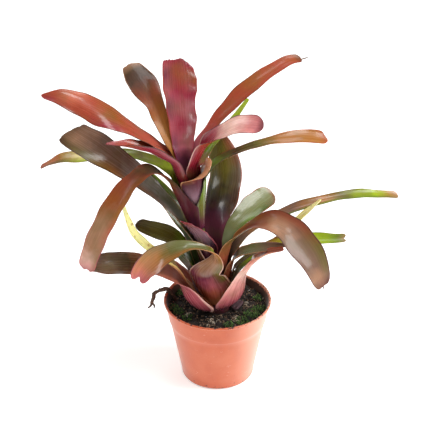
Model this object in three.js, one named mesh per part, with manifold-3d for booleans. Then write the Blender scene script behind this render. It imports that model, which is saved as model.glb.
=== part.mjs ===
// A two-tiered bromeliad in a 12 cm nursery pot. Millimetres, +Z up, origin at the middle of the pot's foot.
import * as THREE from 'three';
import { mergeVertices } from 'three/addons/utils/BufferGeometryUtils.js';
import Module from 'manifold-3d';

// Driving dimensions

const gap = 0.3; // clearance between pieces that touch on the real plant

const pot = {
  height: 96,
  rimRadius: 60,
  footRadius: 41,
  bandHeight: 24, // the wider band below the rim
  bandStep: 0.9, // how far the band stands proud of the wall
  bandSlope: 1.5, // height over which it does so
  wall: 1.5,
  lip: 1.3, // radius of the rolled rim
  footRound: 3, // radius of the corner between foot and wall
  footRing: 6, // width of the ring that the pot stands on
  footPad: 14, // radius of the flat middle, which stands on the surface too
  footRise: 2.2, // height of the floor between pad and ring, where the drain holes are
  drainHoles: 6,
  drainRadius: 4,
  drainCircle: 25,
  sides: 48,
};

const soil = {
  level: 86, // where the stem leaves it
  mound: 1.6, // how much higher it is halfway out
  lump: 1.3, // height of its lumps
  flatTo: 16, // radius within which it is level, round the stem
  moundFrom: 34, // radius from which the mound falls to the pot's wall
  waves: [[0.31, 0.11, 1.3], [0.17, -0.43, 2.1], [0.61, 0.52, 0], [-0.24, 0.37, 0.8]], // per mm, and phase
  rings: [49, 43, 36, 29, 22],
  sides: 44,
};

const stem = {
  sides: 14,
  foot: { x: 1, z: 62, radius: 9 }, // deep in the soil
  shoulder: { x: 0.5, z: 76, radius: 13.5 }, // just under the soil
  lowerRadius: [14.5, 5.5], // at the soil and at the top of the lower rosette
  lowerLength: 45,
  neck: { radius: 6, bends: [{ out: -0.5, up: 68, tilt: 10 }, { out: -5, up: 84, tilt: 24 }] },
  upperRadius: [6.6, 3], // at the foot and at the top of the upper rosette
  upperLength: 58,
  bud: { length: 8, radius: 1 },
};

const dryRoot = {
  path: [[-44, 12, 78], [-49, 13, 91], [-56, 14.5, 99.5], [-63, 16, 99], [-69, 16, 94], [-72, 16, 87],
    [-73, 16, 81], [-78, 16, 74]], // out of the soil, over the rim and down outside the pot
  radius: [1.3, 1.3, 1.2, 1.4, 1.1, 0.6],
  sides: 6,
  rings: 16,
};

const leafThickness = { sheath: 0.74, middle: 1.0, margin: 0.75 };
const widestWrap = 84; // degrees to either side that a sheath may clasp
const acrossCells = 8;
const cellLength = 19; // along a leaf
const bladeStart = { before: 0.85, after: 28 }; // the arc turns to a blade from this share of the sheath's
// length to this many mm past its end
const roundTip = 1.3; // length of a round tip for each mm of half width

// Where each rosette's axis leaves the ground of its own frame, and its lean towards -X in degrees
const rosettes = {
  lower: { origin: [0, 0, soil.level], tilt: 6, radius: stem.lowerRadius, length: stem.lowerLength },
  upper: { origin: [-20, 0, 182], tilt: 9, radius: stem.upperRadius, length: stem.upperLength },
};

// Each leaf, outermost first. heading: degrees from +X round its rosette's axis. attach: height of its foot
// on the stem. flare: how much its sheath widens per mm. lift: height where the blade leaves the sheath's
// cone. blade: the midrib beyond that, as [out, side, up]. sheath: half its width at the foot and at its
// widest. half, cup and roll are spread evenly from foot to tip: half the blade's width, degrees by which
// each margin turns up, and degrees of twist. blunt: the share of the width left at the tip. back: how far
// the tip's outline falls short at places spread evenly across it.
const lowerLeaves = [
  {
    name: 'left_low', color: '#7a5535', heading: 195, attach: 2, flare: 0.6, lift: 42,
    blade: [[58, 0, 64], [79, 0, 75], [100, 0, 82], [121, 0, 87], [138, 0, 91]],
    sheath: [17, 31], half: [15, 13, 14, 13, 8], cup: [0, 35, 30, 20, 15], roll: [0, 0, -20, -35, -35],
  },
  {
    name: 'right_sheath', color: '#c07a78', heading: 332, attach: 4, flare: 0.56, lift: 50,
    blade: [[57, 0, 66], [74, 0, 75], [90, 0, 79]],
    sheath: [17, 30], half: [18, 12, 8, 5], cup: [0, 50, 50, 40], roll: [0],
  },
  {
    name: 'left_withered', color: '#c9c07a', heading: 200, attach: 6, flare: 0.5, lift: 46,
    blade: [[40, 0, 60], [55, 0, 80], [72, 0, 100], [84, 0, 121], [88, 0, 146], [88, 0, 168]],
    sheath: [15, 17], half: [11, 9, 8, 7, 1.5], cup: [0, 60, 50], roll: [0, 0, -30, -30],
  },
  {
    name: 'back_small', color: '#5f7a2c', heading: 130, attach: 7.6, flare: 0.46, lift: 44,
    blade: [[48, 0, 48], [62, 0, 60], [76, 0, 66]],
    sheath: [10, 20], half: [15, 12, 7], cup: [0, 40, 20], roll: [0],
  },
  {
    name: 'right_withered', color: '#d9d48c', heading: 6, attach: 8.8, flare: 0.44, lift: 46,
    blade: [[47, 0, 57], [60, 0, 67], [72, 0, 73], [82, 0, 80], [101, 0, 96], [115, 0, 108],
      [125, 0, 116]],
    sheath: [11, 14], half: [8, 6, 5, 4, 1.2], cup: [0, 60, 60], roll: [0],
  },
  {
    name: 'front_arched', color: '#94803c', heading: 255, attach: 10.2, flare: 0.335, lift: 58,
    blade: [[26, 2, 77], [38, -9, 96], [53, -26, 99], [64, -40, 95], [72, -51, 87], [78, -58, 81]],
    sheath: [17, 29], half: [22, 17, 16, 15, 10], cup: [0, 30, 50, 30, 20], roll: [0, 0, -10, -35, -35],
    blunt: 0.6, back: [0, 1, 5, 1, 0],
  },
  {
    name: 'right_notched', color: '#8a8a34', heading: 354, attach: 12.9, flare: 0.31, lift: 50,
    blade: [[37, 0, 61], [57, 0, 73], [81, 0, 80], [101, 0, 83], [118, 0, 82], [148, 0, 82]],
    sheath: [12, 16], half: [12, 9, 7, 6.5, 5.5], cup: [0, 40, 30], roll: [0, 0, 20, 20], blunt: 0.7,
    back: [0, 1, 5, 1, 0],
  },
  {
    name: 'back_low', color: '#6a7a34', heading: 84, attach: 15.3, flare: 0.305, lift: 54,
    blade: [[44, 0, 74], [66, 0, 88], [95, 0, 96], [124, 0, 96], [150, 0, 88]],
    sheath: [13, 20], half: [15, 12, 12, 12, 8], cup: [0, 40, 30], roll: [0],
  },
  {
    name: 'right_narrow', color: '#8b6a52', heading: 341, attach: 17.5, flare: 0.295, lift: 55,
    blade: [[28, 0, 66], [46, 0, 77], [66, 0, 83], [92, 0, 89]],
    sheath: [14, 20], half: [14, 9, 7, 2], cup: [0, 50, 40], roll: [0, 0, 20, 30],
  },
  {
    name: 'left_dark', color: '#55502a', heading: 180, attach: 20, flare: 0.295, lift: 62,
    blade: [[31, 0, 83], [40, 0, 94], [56, 0, 104], [77, 0, 114]],
    sheath: [16, 21], half: [14, 11, 11, 7], cup: [0, 30, 30], roll: [0, 0, -30, -40],
  },
  {
    name: 'right_long', color: '#7d5a44', heading: 15, attach: 23, flare: 0.285, lift: 64,
    blade: [[39, 0, 80], [53, 0, 88], [76, 0, 95], [105, 0, 101], [140, 0, 103], [181, 0, 99],
      [219, 0, 88]],
    sheath: [15, 21], half: [11, 8, 8, 7, 7, 6], cup: [0, 40, 40, 30], roll: [0, 0, 20, 20],
  },
  {
    name: 'left_green', color: '#5d7a34', heading: 140, attach: 26, flare: 0.265, lift: 66,
    blade: [[28, 0, 88], [41, 0, 106], [57, 0, 125], [70, 0, 137], [84, 0, 147]],
    sheath: [13, 19], half: [13, 11, 11, 9, 5], cup: [0, 40, 30], roll: [0, 0, -30, -30],
  },
  {
    name: 'right_drooping', color: '#a87258', heading: 325, attach: 29, flare: 0.25, lift: 68,
    blade: [[28, 0, 88], [44, 0, 106], [65, 0, 122], [87, 0, 130], [106, 0, 125], [119, 0, 112],
      [132, 0, 92], [141, 0, 67]],
    sheath: [13, 22], half: [14, 11, 10, 13, 16, 15, 9], cup: [0, 30, 40, 30, 20],
    roll: [0, 0, 10, 20, 20, 10],
  },
  {
    name: 'back_right', color: '#7a8a64', heading: 50, attach: 32.3, flare: 0.225, lift: 68,
    blade: [[28, 0, 75], [46, 0, 83], [78, 0, 90], [112, 0, 91]],
    sheath: [11, 18], half: [13, 11, 14, 12], cup: [0, 30, 20], roll: [0, 0, 30, 45],
  },
  {
    name: 'left_cut', color: '#6f6138', heading: 178, attach: 35, flare: 0.16, lift: 84,
    blade: [[22, 0, 104], [36, 0, 130], [53, 0, 153], [74, 0, 176], [94, 0, 196], [114, 0, 215],
      [134, 0, 233]],
    sheath: [12, 20], half: [14, 14, 14, 16, 18, 15], cup: [0, 10, 25, 15], roll: [0, 0, -30, -40],
    blunt: 0.85, back: [12, 8, 4, 1, 0],
  },
  {
    name: 'back_upright', color: '#5a4030', heading: 75, attach: 38, flare: 0.15, lift: 85,
    blade: [[22, -4, 109], [32, -9, 129], [45, -11, 149], [57, -6, 167], [68, 3, 186]],
    sheath: [12, 20], half: [14, 17, 19, 18, 11], cup: [0, 30, 30, 20], roll: [0],
  },
  {
    name: 'centre', color: '#6b4a52', heading: 232, attach: 41, flare: 0.14, lift: 82,
    blade: [[17, 0, 98], [25, 0, 114], [39, 0, 130]],
    sheath: [11, 18], half: [14, 10, 3], cup: [0, 40, 30], roll: [0],
  },
];

const upperLeaves = [
  {
    name: 'left_drooping', color: '#a8603c', heading: 210, attach: 2.6, flare: 0.21, lift: 68,
    blade: [[33, 0, 86], [46, 0, 92], [62, 0, 87], [77, 0, 77], [91, 0, 65], [104, 0, 53], [116, 0, 39],
      [127, 0, 24], [133, 0, 11]],
    sheath: [14, 24], half: [12, 11, 9, 10, 12, 12, 11, 9], cup: [0, 30, 30, 20], roll: [0, 0, -20, -30],
  },
  {
    name: 'right_ochre', color: '#a87a3c', heading: 8, attach: 6.5, flare: 0.2, lift: 66,
    blade: [[32, 0, 78], [53, 0, 85], [76, 0, 89], [102, 0, 90], [129, 0, 87], [152, 0, 79]],
    sheath: [13, 22], half: [12, 7, 6, 6.5, 8, 7], cup: [0, 40, 30, 20], roll: [0, 0, 20, 30],
    blunt: 0.6, back: [2, 0, 0, 2, 4],
  },
  {
    name: 'left_green', color: '#8a9040', heading: 152, attach: 10.6, flare: 0.195, lift: 71,
    blade: [[31, 0, 79], [44, 0, 83], [62, 0, 87], [96, 0, 85], [130, 0, 79], [165, 0, 73], [197, -1, 58]],
    sheath: [13, 22], half: [11, 10, 9, 8, 7, 3], cup: [0, 40, 30, 20], roll: [0, 0, -30, -30],
  },
  {
    name: 'front_collar', color: '#7a3034', heading: 320, attach: 14.6, flare: 0.185, lift: 68,
    blade: [[24, 0, 77], [32, 0, 85], [37, 0, 93]],
    sheath: [12, 22], half: [15, 14, 8], cup: [0, 40, 40], roll: [0, 0, 20, 30],
  },
  {
    name: 'back', color: '#8a4a34', heading: 94, attach: 18.7, flare: 0.18, lift: 74,
    blade: [[28, 0, 91], [45, 0, 106], [70, 0, 117], [98, 0, 120], [124, 0, 115], [142, 0, 107]],
    sheath: [9, 13], half: [7.5, 9, 11, 11, 9, 4], cup: [0, 35, 30], roll: [0],
  },
  {
    name: 'right_green', color: '#8fa030', heading: 45, attach: 24.9, flare: 0.17, lift: 76,
    blade: [[24, 0, 78], [45, 0, 89], [62, 0, 96], [82, 0, 105], [102, 0, 115]],
    sheath: [8, 11], half: [7, 5, 4, 3.5, 2], cup: [0, 40, 30], roll: [0, 0, 30],
  },
  {
    name: 'left_folded', color: '#a8505a', heading: 190, attach: 28.6, flare: 0.16, lift: 80,
    blade: [[16, 0, 90], [26, 0, 99], [35, 0, 107], [45, 0, 113], [55, 0, 118], [66, 0, 123],
      [77, 0, 127]],
    sheath: [8, 12], half: [10, 8, 7, 5, 1.2], cup: [0, 15, 60, 60], roll: [0, 0, 25, 15],
  },
  {
    name: 'right_pink', color: '#b8505a', heading: 335, attach: 33.9, flare: 0.155, lift: 82,
    blade: [[19, 0, 93], [30, 0, 108], [53, -1, 125], [77, -1, 135], [98, -1, 135]],
    sheath: [8, 15], half: [13, 11, 12, 13, 10], cup: [0, 40, 50, 30, 10], roll: [0, 0, 20, 30],
  },
  {
    name: 'left_red', color: '#b0503c', heading: 170, attach: 38.2, flare: 0.15, lift: 87,
    blade: [[20, 0, 99], [32, 0, 113], [51, 0, 129], [74, 0, 145], [98, 1, 160], [117, 1, 171],
      [136, 1, 176]],
    sheath: [11, 20], half: [13, 13, 14, 14, 13, 5], cup: [0, 20, 10, -10, -20],
    roll: [0, 0, 0, -40, -50],
  },
  {
    name: 'right_long', color: '#b06a50', heading: 30, attach: 42.9, flare: 0.15, lift: 89,
    blade: [[17, 0, 97], [28, 0, 106], [50, 1, 120], [70, 1, 131], [91, 1, 141], [117, 1, 148],
      [140, 1, 152], [156, 1, 149]],
    sheath: [6, 9], half: [8, 9, 8.5, 8, 7, 5, 1.2], cup: [0, 30, 40, 30], roll: [0, 0, 30, 30],
  },
  {
    name: 'back_ochre', color: '#a06838', heading: 125, attach: 48.2, flare: 0.145, lift: 90,
    blade: [[16, 3, 104], [27, 3, 123], [38, 2, 143], [48, 3, 160], [57, 5, 173], [65, 8, 185]],
    sheath: [6, 12], half: [10, 9, 10, 13, 14, 12], cup: [0, 30, 30, 20], roll: [0], blunt: 0.8,
    back: [4, 2, 0, 0, 0],
  },
  {
    name: 'top_plum', color: '#8a3a44', heading: 95, attach: 53.6, flare: 0.14, lift: 97,
    blade: [[13, -2, 100], [19, -4, 119], [26, -6, 139], [33, -9, 159], [41, -11, 186]],
    sheath: [6, 13], half: [12, 14, 16, 17, 16], cup: [0, 20, 20, 15], roll: [0], blunt: 0.85,
    back: [0, 1, 0, 2, 4],
  },
];

// Small helpers

const wasm = await Module();
wasm.setup();
const degrees = THREE.MathUtils.degToRad;
const lerp = THREE.MathUtils.lerp;
const clamp = THREE.MathUtils.clamp;

// A list spread evenly over 0..1, read smoothly between its entries.
function spread(list, t) {
  if (list.length === 1) return list[0];
  const at = clamp(t, 0, 1) * (list.length - 1);
  const i = Math.min(Math.floor(at), list.length - 2);
  const f = at - i;
  const [a, b] = [list[i], list[i + 1]];
  const slopeA = (b - list[Math.max(i - 1, 0)]) / 2;
  const slopeB = (list[Math.min(i + 2, list.length - 1)] - a) / 2;
  const ease = f * f * (3 - 2 * f);
  return lerp(a, b, ease) + f * (1 - f) * (slopeA * (1 - f) - slopeB * f);
}

function smooth(from, to, x) {
  return THREE.MathUtils.smoothstep(x, from, to);
}

// Points of an arc in a lathe's profile, from one angle to another in degrees.
function arc(x, z, radius, from, to, steps) {
  return Array.from({ length: steps + 1 }, (_, i) => {
    const angle = degrees(lerp(from, to, i / steps));
    return [x + radius * Math.cos(angle), z + radius * Math.sin(angle)];
  });
}

function positionsOnly(geometry) {
  const bare = geometry.clone();
  bare.deleteAttribute('normal');
  bare.deleteAttribute('uv');
  return mergeVertices(bare, 1e-4);
}

function toSolid(geometry) {
  const merged = positionsOnly(geometry);
  const triVerts = Uint32Array.from(merged.index.array);
  const vertProperties = Float32Array.from(merged.attributes.position.array);
  return new wasm.Manifold(new wasm.Mesh({ numProp: 3, vertProperties, triVerts }));
}

function toGeometry(solid) {
  const mesh = solid.getMesh();
  const geometry = new THREE.BufferGeometry();
  geometry.setAttribute('position', new THREE.BufferAttribute(Float32Array.from(mesh.vertProperties), 3));
  geometry.setIndex(Array.from(mesh.triVerts));
  return geometry;
}

// Turns a list of [radius, height] round the Z axis.
function turned(profile, sides) {
  const lathe = new THREE.LatheGeometry(profile.map(([r, z]) => new THREE.Vector2(r, z)), sides);
  return lathe.rotateX(Math.PI / 2);
}

function named(name, geometry, color, roughness) {
  const bare = positionsOnly(geometry);
  bare.computeVertexNormals();
  const mesh = new THREE.Mesh(bare, new THREE.MeshStandardMaterial({ color, roughness, metalness: 0 }));
  mesh.name = name;
  return mesh;
}

// A geometry from points and triangles, turned so that its faces point out.
function closedMesh(points, triangles) {
  let volume = 0;
  for (const [a, b, c] of triangles) volume += points[a].dot(points[b].clone().cross(points[c]));
  const geometry = new THREE.BufferGeometry().setFromPoints(points);
  geometry.setIndex(triangles.flatMap(([a, b, c]) => (volume > 0 ? [a, b, c] : [a, c, b])));
  return geometry;
}

// Joins rings of points, each as long as the next, and closes both ends.
function closedTube(rings) {
  const sides = rings[0].length;
  const points = rings.flat();
  const triangles = [];
  for (let i = 0; i < rings.length - 1; i += 1) {
    for (let j = 0; j < sides; j += 1) {
      const a = i * sides + j;
      const b = i * sides + ((j + 1) % sides);
      triangles.push([a, b, b + sides], [a, b + sides, a + sides]);
    }
  }
  for (const end of [0, rings.length - 1]) {
    const middle = points.length;
    points.push(rings[end].reduce((sum, p) => sum.add(p), new THREE.Vector3()).divideScalar(sides));
    for (let j = 0; j < sides; j += 1) {
      const a = end * sides + j;
      const b = end * sides + ((j + 1) % sides);
      triangles.push(end === 0 ? [middle, b, a] : [middle, a, b]);
    }
  }
  return closedMesh(points, triangles);
}

// A tube of a changing radius along a list of points.
function tube(path, radii, sides, count) {
  const curve = new THREE.CatmullRomCurve3(path.map((p) => new THREE.Vector3(...p)));
  const frames = curve.computeFrenetFrames(count, false);
  const rings = [];
  for (let i = 0; i <= count; i += 1) {
    const centre = curve.getPointAt(i / count);
    const radius = spread(radii, i / count);
    const ring = [];
    for (let j = 0; j < sides; j += 1) {
      const angle = (j / sides) * 2 * Math.PI;
      ring.push(centre.clone().addScaledVector(frames.normals[i], radius * Math.cos(angle))
        .addScaledVector(frames.binormals[i], radius * Math.sin(angle)));
    }
    rings.push(ring);
  }
  return closedTube(rings);
}

// The pot

const bandFoot = pot.height - pot.bandHeight;
const floorTop = pot.footRise + pot.wall;

// The wall's outer radius at a height, without the step below the band.
function wallRadius(z) {
  return lerp(pot.footRadius, pot.rimRadius - pot.lip, z / pot.height);
}

// The floor's upper side: flat over the pad, higher from there to the wall.
function floorProfile(lifted) {
  return [[0, pot.wall + lifted], [pot.footPad, pot.wall + lifted], [pot.footPad + 1, floorTop + lifted]];
}

function makePot() {
  const ringInner = pot.footRadius - pot.footRing;
  const lipMiddle = pot.height - pot.lip;
  const inner = (z) => wallRadius(z) - pot.wall;
  const profile = [
    [0, pot.wall], [0, 0], [pot.footPad, 0], [pot.footPad + 1, pot.footRise],
    [ringInner, pot.footRise], [ringInner + 1, 0],
    ...arc(pot.footRadius - pot.footRound, pot.footRound, pot.footRound, -90, -5, 3),
    [wallRadius(bandFoot) - pot.bandStep, bandFoot - pot.bandSlope], [wallRadius(bandFoot), bandFoot],
    ...arc(pot.rimRadius - pot.lip, lipMiddle, pot.lip, -55, 155, 5),
    [inner(bandFoot) - pot.bandStep, bandFoot - pot.bandSlope],
    [inner(floorTop), floorTop + 1.2], [inner(floorTop) - 1.2, floorTop],
    ...floorProfile(0).reverse(),
  ];
  let body = toSolid(turned(profile, pot.sides));
  for (let i = 0; i < pot.drainHoles; i += 1) {
    const angle = (i / pot.drainHoles) * 2 * Math.PI;
    const drill = new THREE.CylinderGeometry(pot.drainRadius, pot.drainRadius, 4 * pot.wall, 12);
    drill.rotateX(Math.PI / 2);
    drill.translate(pot.drainCircle * Math.cos(angle), pot.drainCircle * Math.sin(angle), floorTop);
    body = body.subtract(toSolid(drill));
  }
  return named('pot', toGeometry(body), '#c4694a', 0.45);
}

// The soil, with a plain hole for the stem and one for the root

function soilHeight(x, y) {
  const r = Math.hypot(x, y);
  const lumps = soil.waves.reduce((sum, [kx, ky, phase]) => sum + Math.sin(x * kx + y * ky + phase), 0);
  const mound = soil.mound * smooth(pot.rimRadius, soil.moundFrom, r);
  return soil.level - 2 * gap + smooth(soil.flatTo, soil.moundFrom, r)
    * (mound + (soil.lump * lumps) / soil.waves.length);
}

function makeSoil() {
  const holeRadius = stem.lowerRadius[0] + gap;
  const holeFoot = stem.foot.z - gap;
  const side = (z) => wallRadius(z) - pot.wall - pot.bandStep - 2 * gap;
  const profile = [
    ...floorProfile(gap), [side(floorTop) - 2, floorTop + gap], [side(floorTop + 2), floorTop + 2],
    [side(soil.level), soil.level], ...soil.rings.map((r) => [r, soil.level]),
    [holeRadius, soil.level], [holeRadius, holeFoot], [0, holeFoot],
  ];
  const geometry = positionsOnly(turned(profile, soil.sides));
  const position = geometry.attributes.position;
  for (let i = 0; i < position.count; i += 1) {
    if (position.getZ(i) > soil.level - 0.01) {
      position.setZ(i, soilHeight(position.getX(i), position.getY(i)));
    }
  }
  const rootHole = tube(dryRoot.path.slice(0, 3), [dryRoot.radius[0] + gap], 8, 6);
  return named('soil', toGeometry(toSolid(geometry).subtract(toSolid(rootHole))), '#2b211a', 0.95);
}

// The stem

// A point of a rosette, given as [out, side, up] at a heading, in the object's own frame.
function place({ origin, tilt }, heading, [out, side, up]) {
  const turn = degrees(heading);
  const point = new THREE.Vector3(
    out * Math.cos(turn) - side * Math.sin(turn),
    out * Math.sin(turn) + side * Math.cos(turn),
    up,
  );
  point.applyAxisAngle(new THREE.Vector3(0, 1, 0), -degrees(tilt));
  return point.add(new THREE.Vector3(...origin));
}

function makeStem() {
  const { lower, upper } = rosettes;
  const { foot, shoulder, neck, bud } = stem;
  const onAxis = (rosette, up, radius) => {
    return { at: place(rosette, 0, [0, 0, up]), radius, tilt: rosette.tilt };
  };
  const stations = [
    { at: new THREE.Vector3(foot.x, 0, foot.z), radius: foot.radius, tilt: 0 },
    { at: new THREE.Vector3(shoulder.x, 0, shoulder.z), radius: shoulder.radius, tilt: lower.tilt / 3 },
    onAxis(lower, 0, stem.lowerRadius[0]),
    onAxis(lower, stem.lowerLength, stem.lowerRadius[1]),
    ...neck.bends.map(({ out, up, tilt }) => {
      return { at: place(lower, 0, [out, 0, up]), radius: neck.radius, tilt };
    }),
    onAxis(upper, 0, stem.upperRadius[0]),
    onAxis(upper, stem.upperLength, stem.upperRadius[1]),
    onAxis(upper, stem.upperLength + bud.length, bud.radius),
  ];
  const rings = stations.map(({ at, radius, tilt }) => Array.from({ length: stem.sides }, (_, j) => {
    return place({ origin: at.toArray(), tilt }, (j / stem.sides) * 360, [radius, 0, 0]);
  }));
  return named('stem', closedTube(rings), '#7d7a3c', 0.6);
}

// The leaves

function stemRadius({ radius, length }, height) {
  return lerp(radius[0], radius[1], height / length);
}

// The middle surface of a leaf: a point for t from foot to tip and u from margin to margin.
function leafSurface(leaf, rosette) {
  const facetSink = 1 / Math.cos(degrees(widestWrap) / acrossCells);
  const foot = (stemRadius(rosette, leaf.attach) + gap + leafThickness.sheath / 2) * facetSink;
  const coneRadius = (h) => foot + leaf.flare * (h - leaf.attach);
  const onCone = [0, 0.35, 0.7, 0.9, 1].map((share) => lerp(leaf.attach, leaf.lift, share));
  const midribPoints = [...onCone.map((h) => [coneRadius(h), 0, h]), ...leaf.blade]
    .map((p) => new THREE.Vector3(...p));
  const midrib = new THREE.CatmullRomCurve3(midribPoints, false, 'centripetal');
  midrib.arcLengthDivisions = 400;
  const length = midrib.getLength();
  const sheathEnd = Math.hypot(leaf.lift - leaf.attach, coneRadius(leaf.lift) - foot) / length;
  const side = new THREE.Vector3(0, 1, 0);
  const at = (t, u) => {
    const shortfall = (spread(leaf.back ?? [0], (u + 1) / 2) / length) * smooth(0.7, 1, t);
    const reached = clamp(t - shortfall, 0, 1);
    const centre = midrib.getPointAt(reached);
    const along = midrib.getTangentAt(reached);
    const half = leafHalfWidth(leaf, t, length, sheathEnd);
    // the sheath, an arc about the rosette's axis
    const wrap = Math.min(half / centre.x, degrees(widestWrap)) * u;
    const sheath = new THREE.Vector3(centre.x * Math.cos(wrap), centre.x * Math.sin(wrap), centre.z);
    // the blade, a gutter across the midrib
    const roll = degrees(spread(leaf.roll, t));
    const across = side.clone().addScaledVector(along, -along.dot(side)).normalize();
    across.applyAxisAngle(along, roll);
    const normal = along.clone().cross(across);
    const cup = degrees(spread(leaf.cup, t));
    const bend = Math.abs(cup) < 0.01 ? 0.01 : cup;
    const blade = centre.clone()
      .addScaledVector(across, (half * Math.sin(bend * u)) / bend)
      .addScaledVector(normal, (half * (1 - Math.cos(bend * u))) / bend);
    const turnedBlade = smooth(sheathEnd * bladeStart.before, sheathEnd + bladeStart.after / length, t);
    return sheath.lerp(blade, turnedBlade);
  };
  return { at, length };
}

// Half the width: the sheath's, then the blade's, drawn in over the last stretch to a round or cut tip.
function leafHalfWidth(leaf, t, length, sheathEnd) {
  const [foot, widest] = leaf.sheath;
  const half = t < sheathEnd
    ? spread([foot, widest, (widest + leaf.half[0]) / 2, leaf.half[0]], t / sheathEnd)
    : spread(leaf.half, (t - sheathEnd) / (1 - sheathEnd));
  const tip = clamp(((1 - t) * length) / tipLength(leaf), 0, 1);
  return half * lerp(leaf.blunt, 1, Math.sqrt(1 - (1 - tip) ** 2));
}

function tipLength(leaf) {
  return leaf.half.at(-1) * roundTip * (1.1 - leaf.blunt);
}

// How thick the leaf is: thin in the sheath and at the margins.
function leafDepth(t, u) {
  const middle = lerp(leafThickness.sheath, leafThickness.middle, smooth(0.15, 0.4, t));
  return lerp(middle, Math.min(middle, leafThickness.margin), u * u);
}

function makeLeaf(shape, rosetteName) {
  const leaf = { blunt: 0.3, ...shape };
  const rosette = rosettes[rosetteName];
  const { at: surface, length } = leafSurface(leaf, rosette);
  const tip = tipLength(leaf) / length;
  const evenCells = Math.max(6, Math.round((length * (1 - tip)) / cellLength));
  const stops = Array.from({ length: evenCells + 1 }, (_, i) => ((1 - tip) * i) / evenCells);
  stops.push(1 - tip * 0.6, 1 - tip * 0.2, 1);
  const upper = [];
  const lower = [];
  const step = 0.004;
  for (const t of stops) {
    for (let j = 0; j <= acrossCells; j += 1) {
      const u = (j / acrossCells) * 2 - 1;
      const along = surface(Math.min(t + step, 1), u).sub(surface(Math.max(t - step, 0), u));
      const across = surface(t, Math.min(u + step, 1)).sub(surface(t, Math.max(u - step, -1)));
      const offset = along.cross(across).setLength(leafDepth(t, u) / 2);
      upper.push(surface(t, u).add(offset));
      lower.push(surface(t, u).sub(offset));
    }
  }
  const points = [...upper, ...lower].map((p) => place(rosette, leaf.heading, p.toArray()));
  const triangles = sheetTriangles(stops.length - 1, acrossCells);
  return named(`${rosetteName}_leaf_${leaf.name}`, closedMesh(points, triangles), leaf.color, 0.3);
}

// Triangles of a thin sheet: its upper face, the lower face split alike, and the rim between them.
function sheetTriangles(rows, columns) {
  const width = columns + 1;
  const below = (rows + 1) * width;
  const triangles = [];
  for (let i = 0; i < rows; i += 1) {
    for (let j = 0; j < columns; j += 1) {
      const a = i * width + j;
      const [b, c, d] = [a + 1, a + width, a + width + 1];
      const faces = j < columns / 2 ? [[a, b, d], [a, d, c]] : [[a, b, c], [b, d, c]];
      triangles.push(...faces, ...faces.map(([p, q, r]) => [p + below, r + below, q + below]));
    }
  }
  const rim = [];
  for (let j = 0; j < columns; j += 1) rim.push(j);
  for (let i = 0; i < rows; i += 1) rim.push(i * width + columns);
  for (let j = columns; j > 0; j -= 1) rim.push(rows * width + j);
  for (let i = rows; i > 0; i -= 1) rim.push(i * width);
  rim.forEach((a, k) => {
    const b = rim[(k + 1) % rim.length];
    triangles.push([b, a, a + below], [b, a + below, b + below]);
  });
  return triangles;
}

// The whole plant

const object = new THREE.Group();
object.add(makePot(), makeSoil(), makeStem());
const root = tube(dryRoot.path, dryRoot.radius, dryRoot.sides, dryRoot.rings);
object.add(named('dry_root', root, '#3a2618', 0.9));
for (const leaf of lowerLeaves) object.add(makeLeaf(leaf, 'lower'));
for (const leaf of upperLeaves) object.add(makeLeaf(leaf, 'upper'));

export default object;
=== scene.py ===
import math

import bpy
import numpy as np
from mathutils import Matrix, Vector, noise


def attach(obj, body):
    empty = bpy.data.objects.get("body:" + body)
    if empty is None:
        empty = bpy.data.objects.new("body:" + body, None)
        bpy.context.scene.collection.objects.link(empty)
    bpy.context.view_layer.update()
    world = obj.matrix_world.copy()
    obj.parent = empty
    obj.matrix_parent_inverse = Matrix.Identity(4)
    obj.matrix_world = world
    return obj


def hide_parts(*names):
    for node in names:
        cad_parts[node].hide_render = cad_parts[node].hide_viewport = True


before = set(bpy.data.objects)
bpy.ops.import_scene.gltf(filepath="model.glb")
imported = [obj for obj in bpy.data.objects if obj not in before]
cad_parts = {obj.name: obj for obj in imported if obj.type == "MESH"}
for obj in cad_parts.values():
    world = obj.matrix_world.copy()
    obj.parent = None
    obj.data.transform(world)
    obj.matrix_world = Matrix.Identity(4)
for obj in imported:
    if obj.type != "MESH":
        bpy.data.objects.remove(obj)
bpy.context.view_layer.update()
print("frame loaded:", len(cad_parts), "CAD nodes")

mm = 0.001  # in metres
squareCm = 1e-4  # in square metres
fullTurn = 2 * math.pi

# Pigments, as sRGB hex, that the plant's surfaces are painted with; lilac stands for a painted highlight, and
# silver is partly a pale grey tone and partly a painted highlight
pigments = {
    "crimson": "#8c1f34", "wine": "#4a1722", "plum": "#692c42", "mauve": "#866470", "rose": "#a24f58",
    "pink": "#c97f7a", "blush": "#e6b8aa", "salmon": "#b05c42", "peach": "#cf956e", "rust": "#7c3820",
    "brick": "#963c26", "ochre": "#976028", "tan": "#9c7256", "olive": "#5c541f", "moss": "#424e18",
    "leafGreen": "#5c7612", "lime": "#8a9e10", "greyGreen": "#6c7048", "darkOlive": "#352f1a",
    "umber": "#402818", "purple": "#2e1926", "taupe": "#6c5142", "straw": "#d8cc74", "cream": "#f0eca4",
    "chartreuse": "#b4c068", "sienna": "#86461a", "silver": "#9a928a", "lilac": "#7d6f84",
}


def linear(hexColour):  # sRGB hex to the linear colour that shaders take
    shares = [int(hexColour[i:i + 2], 16) / 255 for i in (1, 3, 5)]
    return [s / 12.92 if s <= 0.04045 else ((s + 0.055) / 1.055) ** 2.4 for s in shares] + [1.0]


def paint(name):
    return linear(pigments[name])


def evenStops(names):  # pigment names, spread evenly over a colour ramp
    colours = [paint(name) for name in names.split()]
    return [(i / (len(colours) - 1), colour) for i, colour in enumerate(colours)]


# Each input is a value, the output that it is linked to, or the node whose first output that is
def setInputs(tree, node, inputs):
    for key, value in inputs.items():
        if isinstance(value, bpy.types.Node):
            value = value.outputs[0]
        if isinstance(value, bpy.types.NodeSocket):
            tree.links.new(value, node.inputs[key])
        else:
            node.inputs[key].default_value = value


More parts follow.
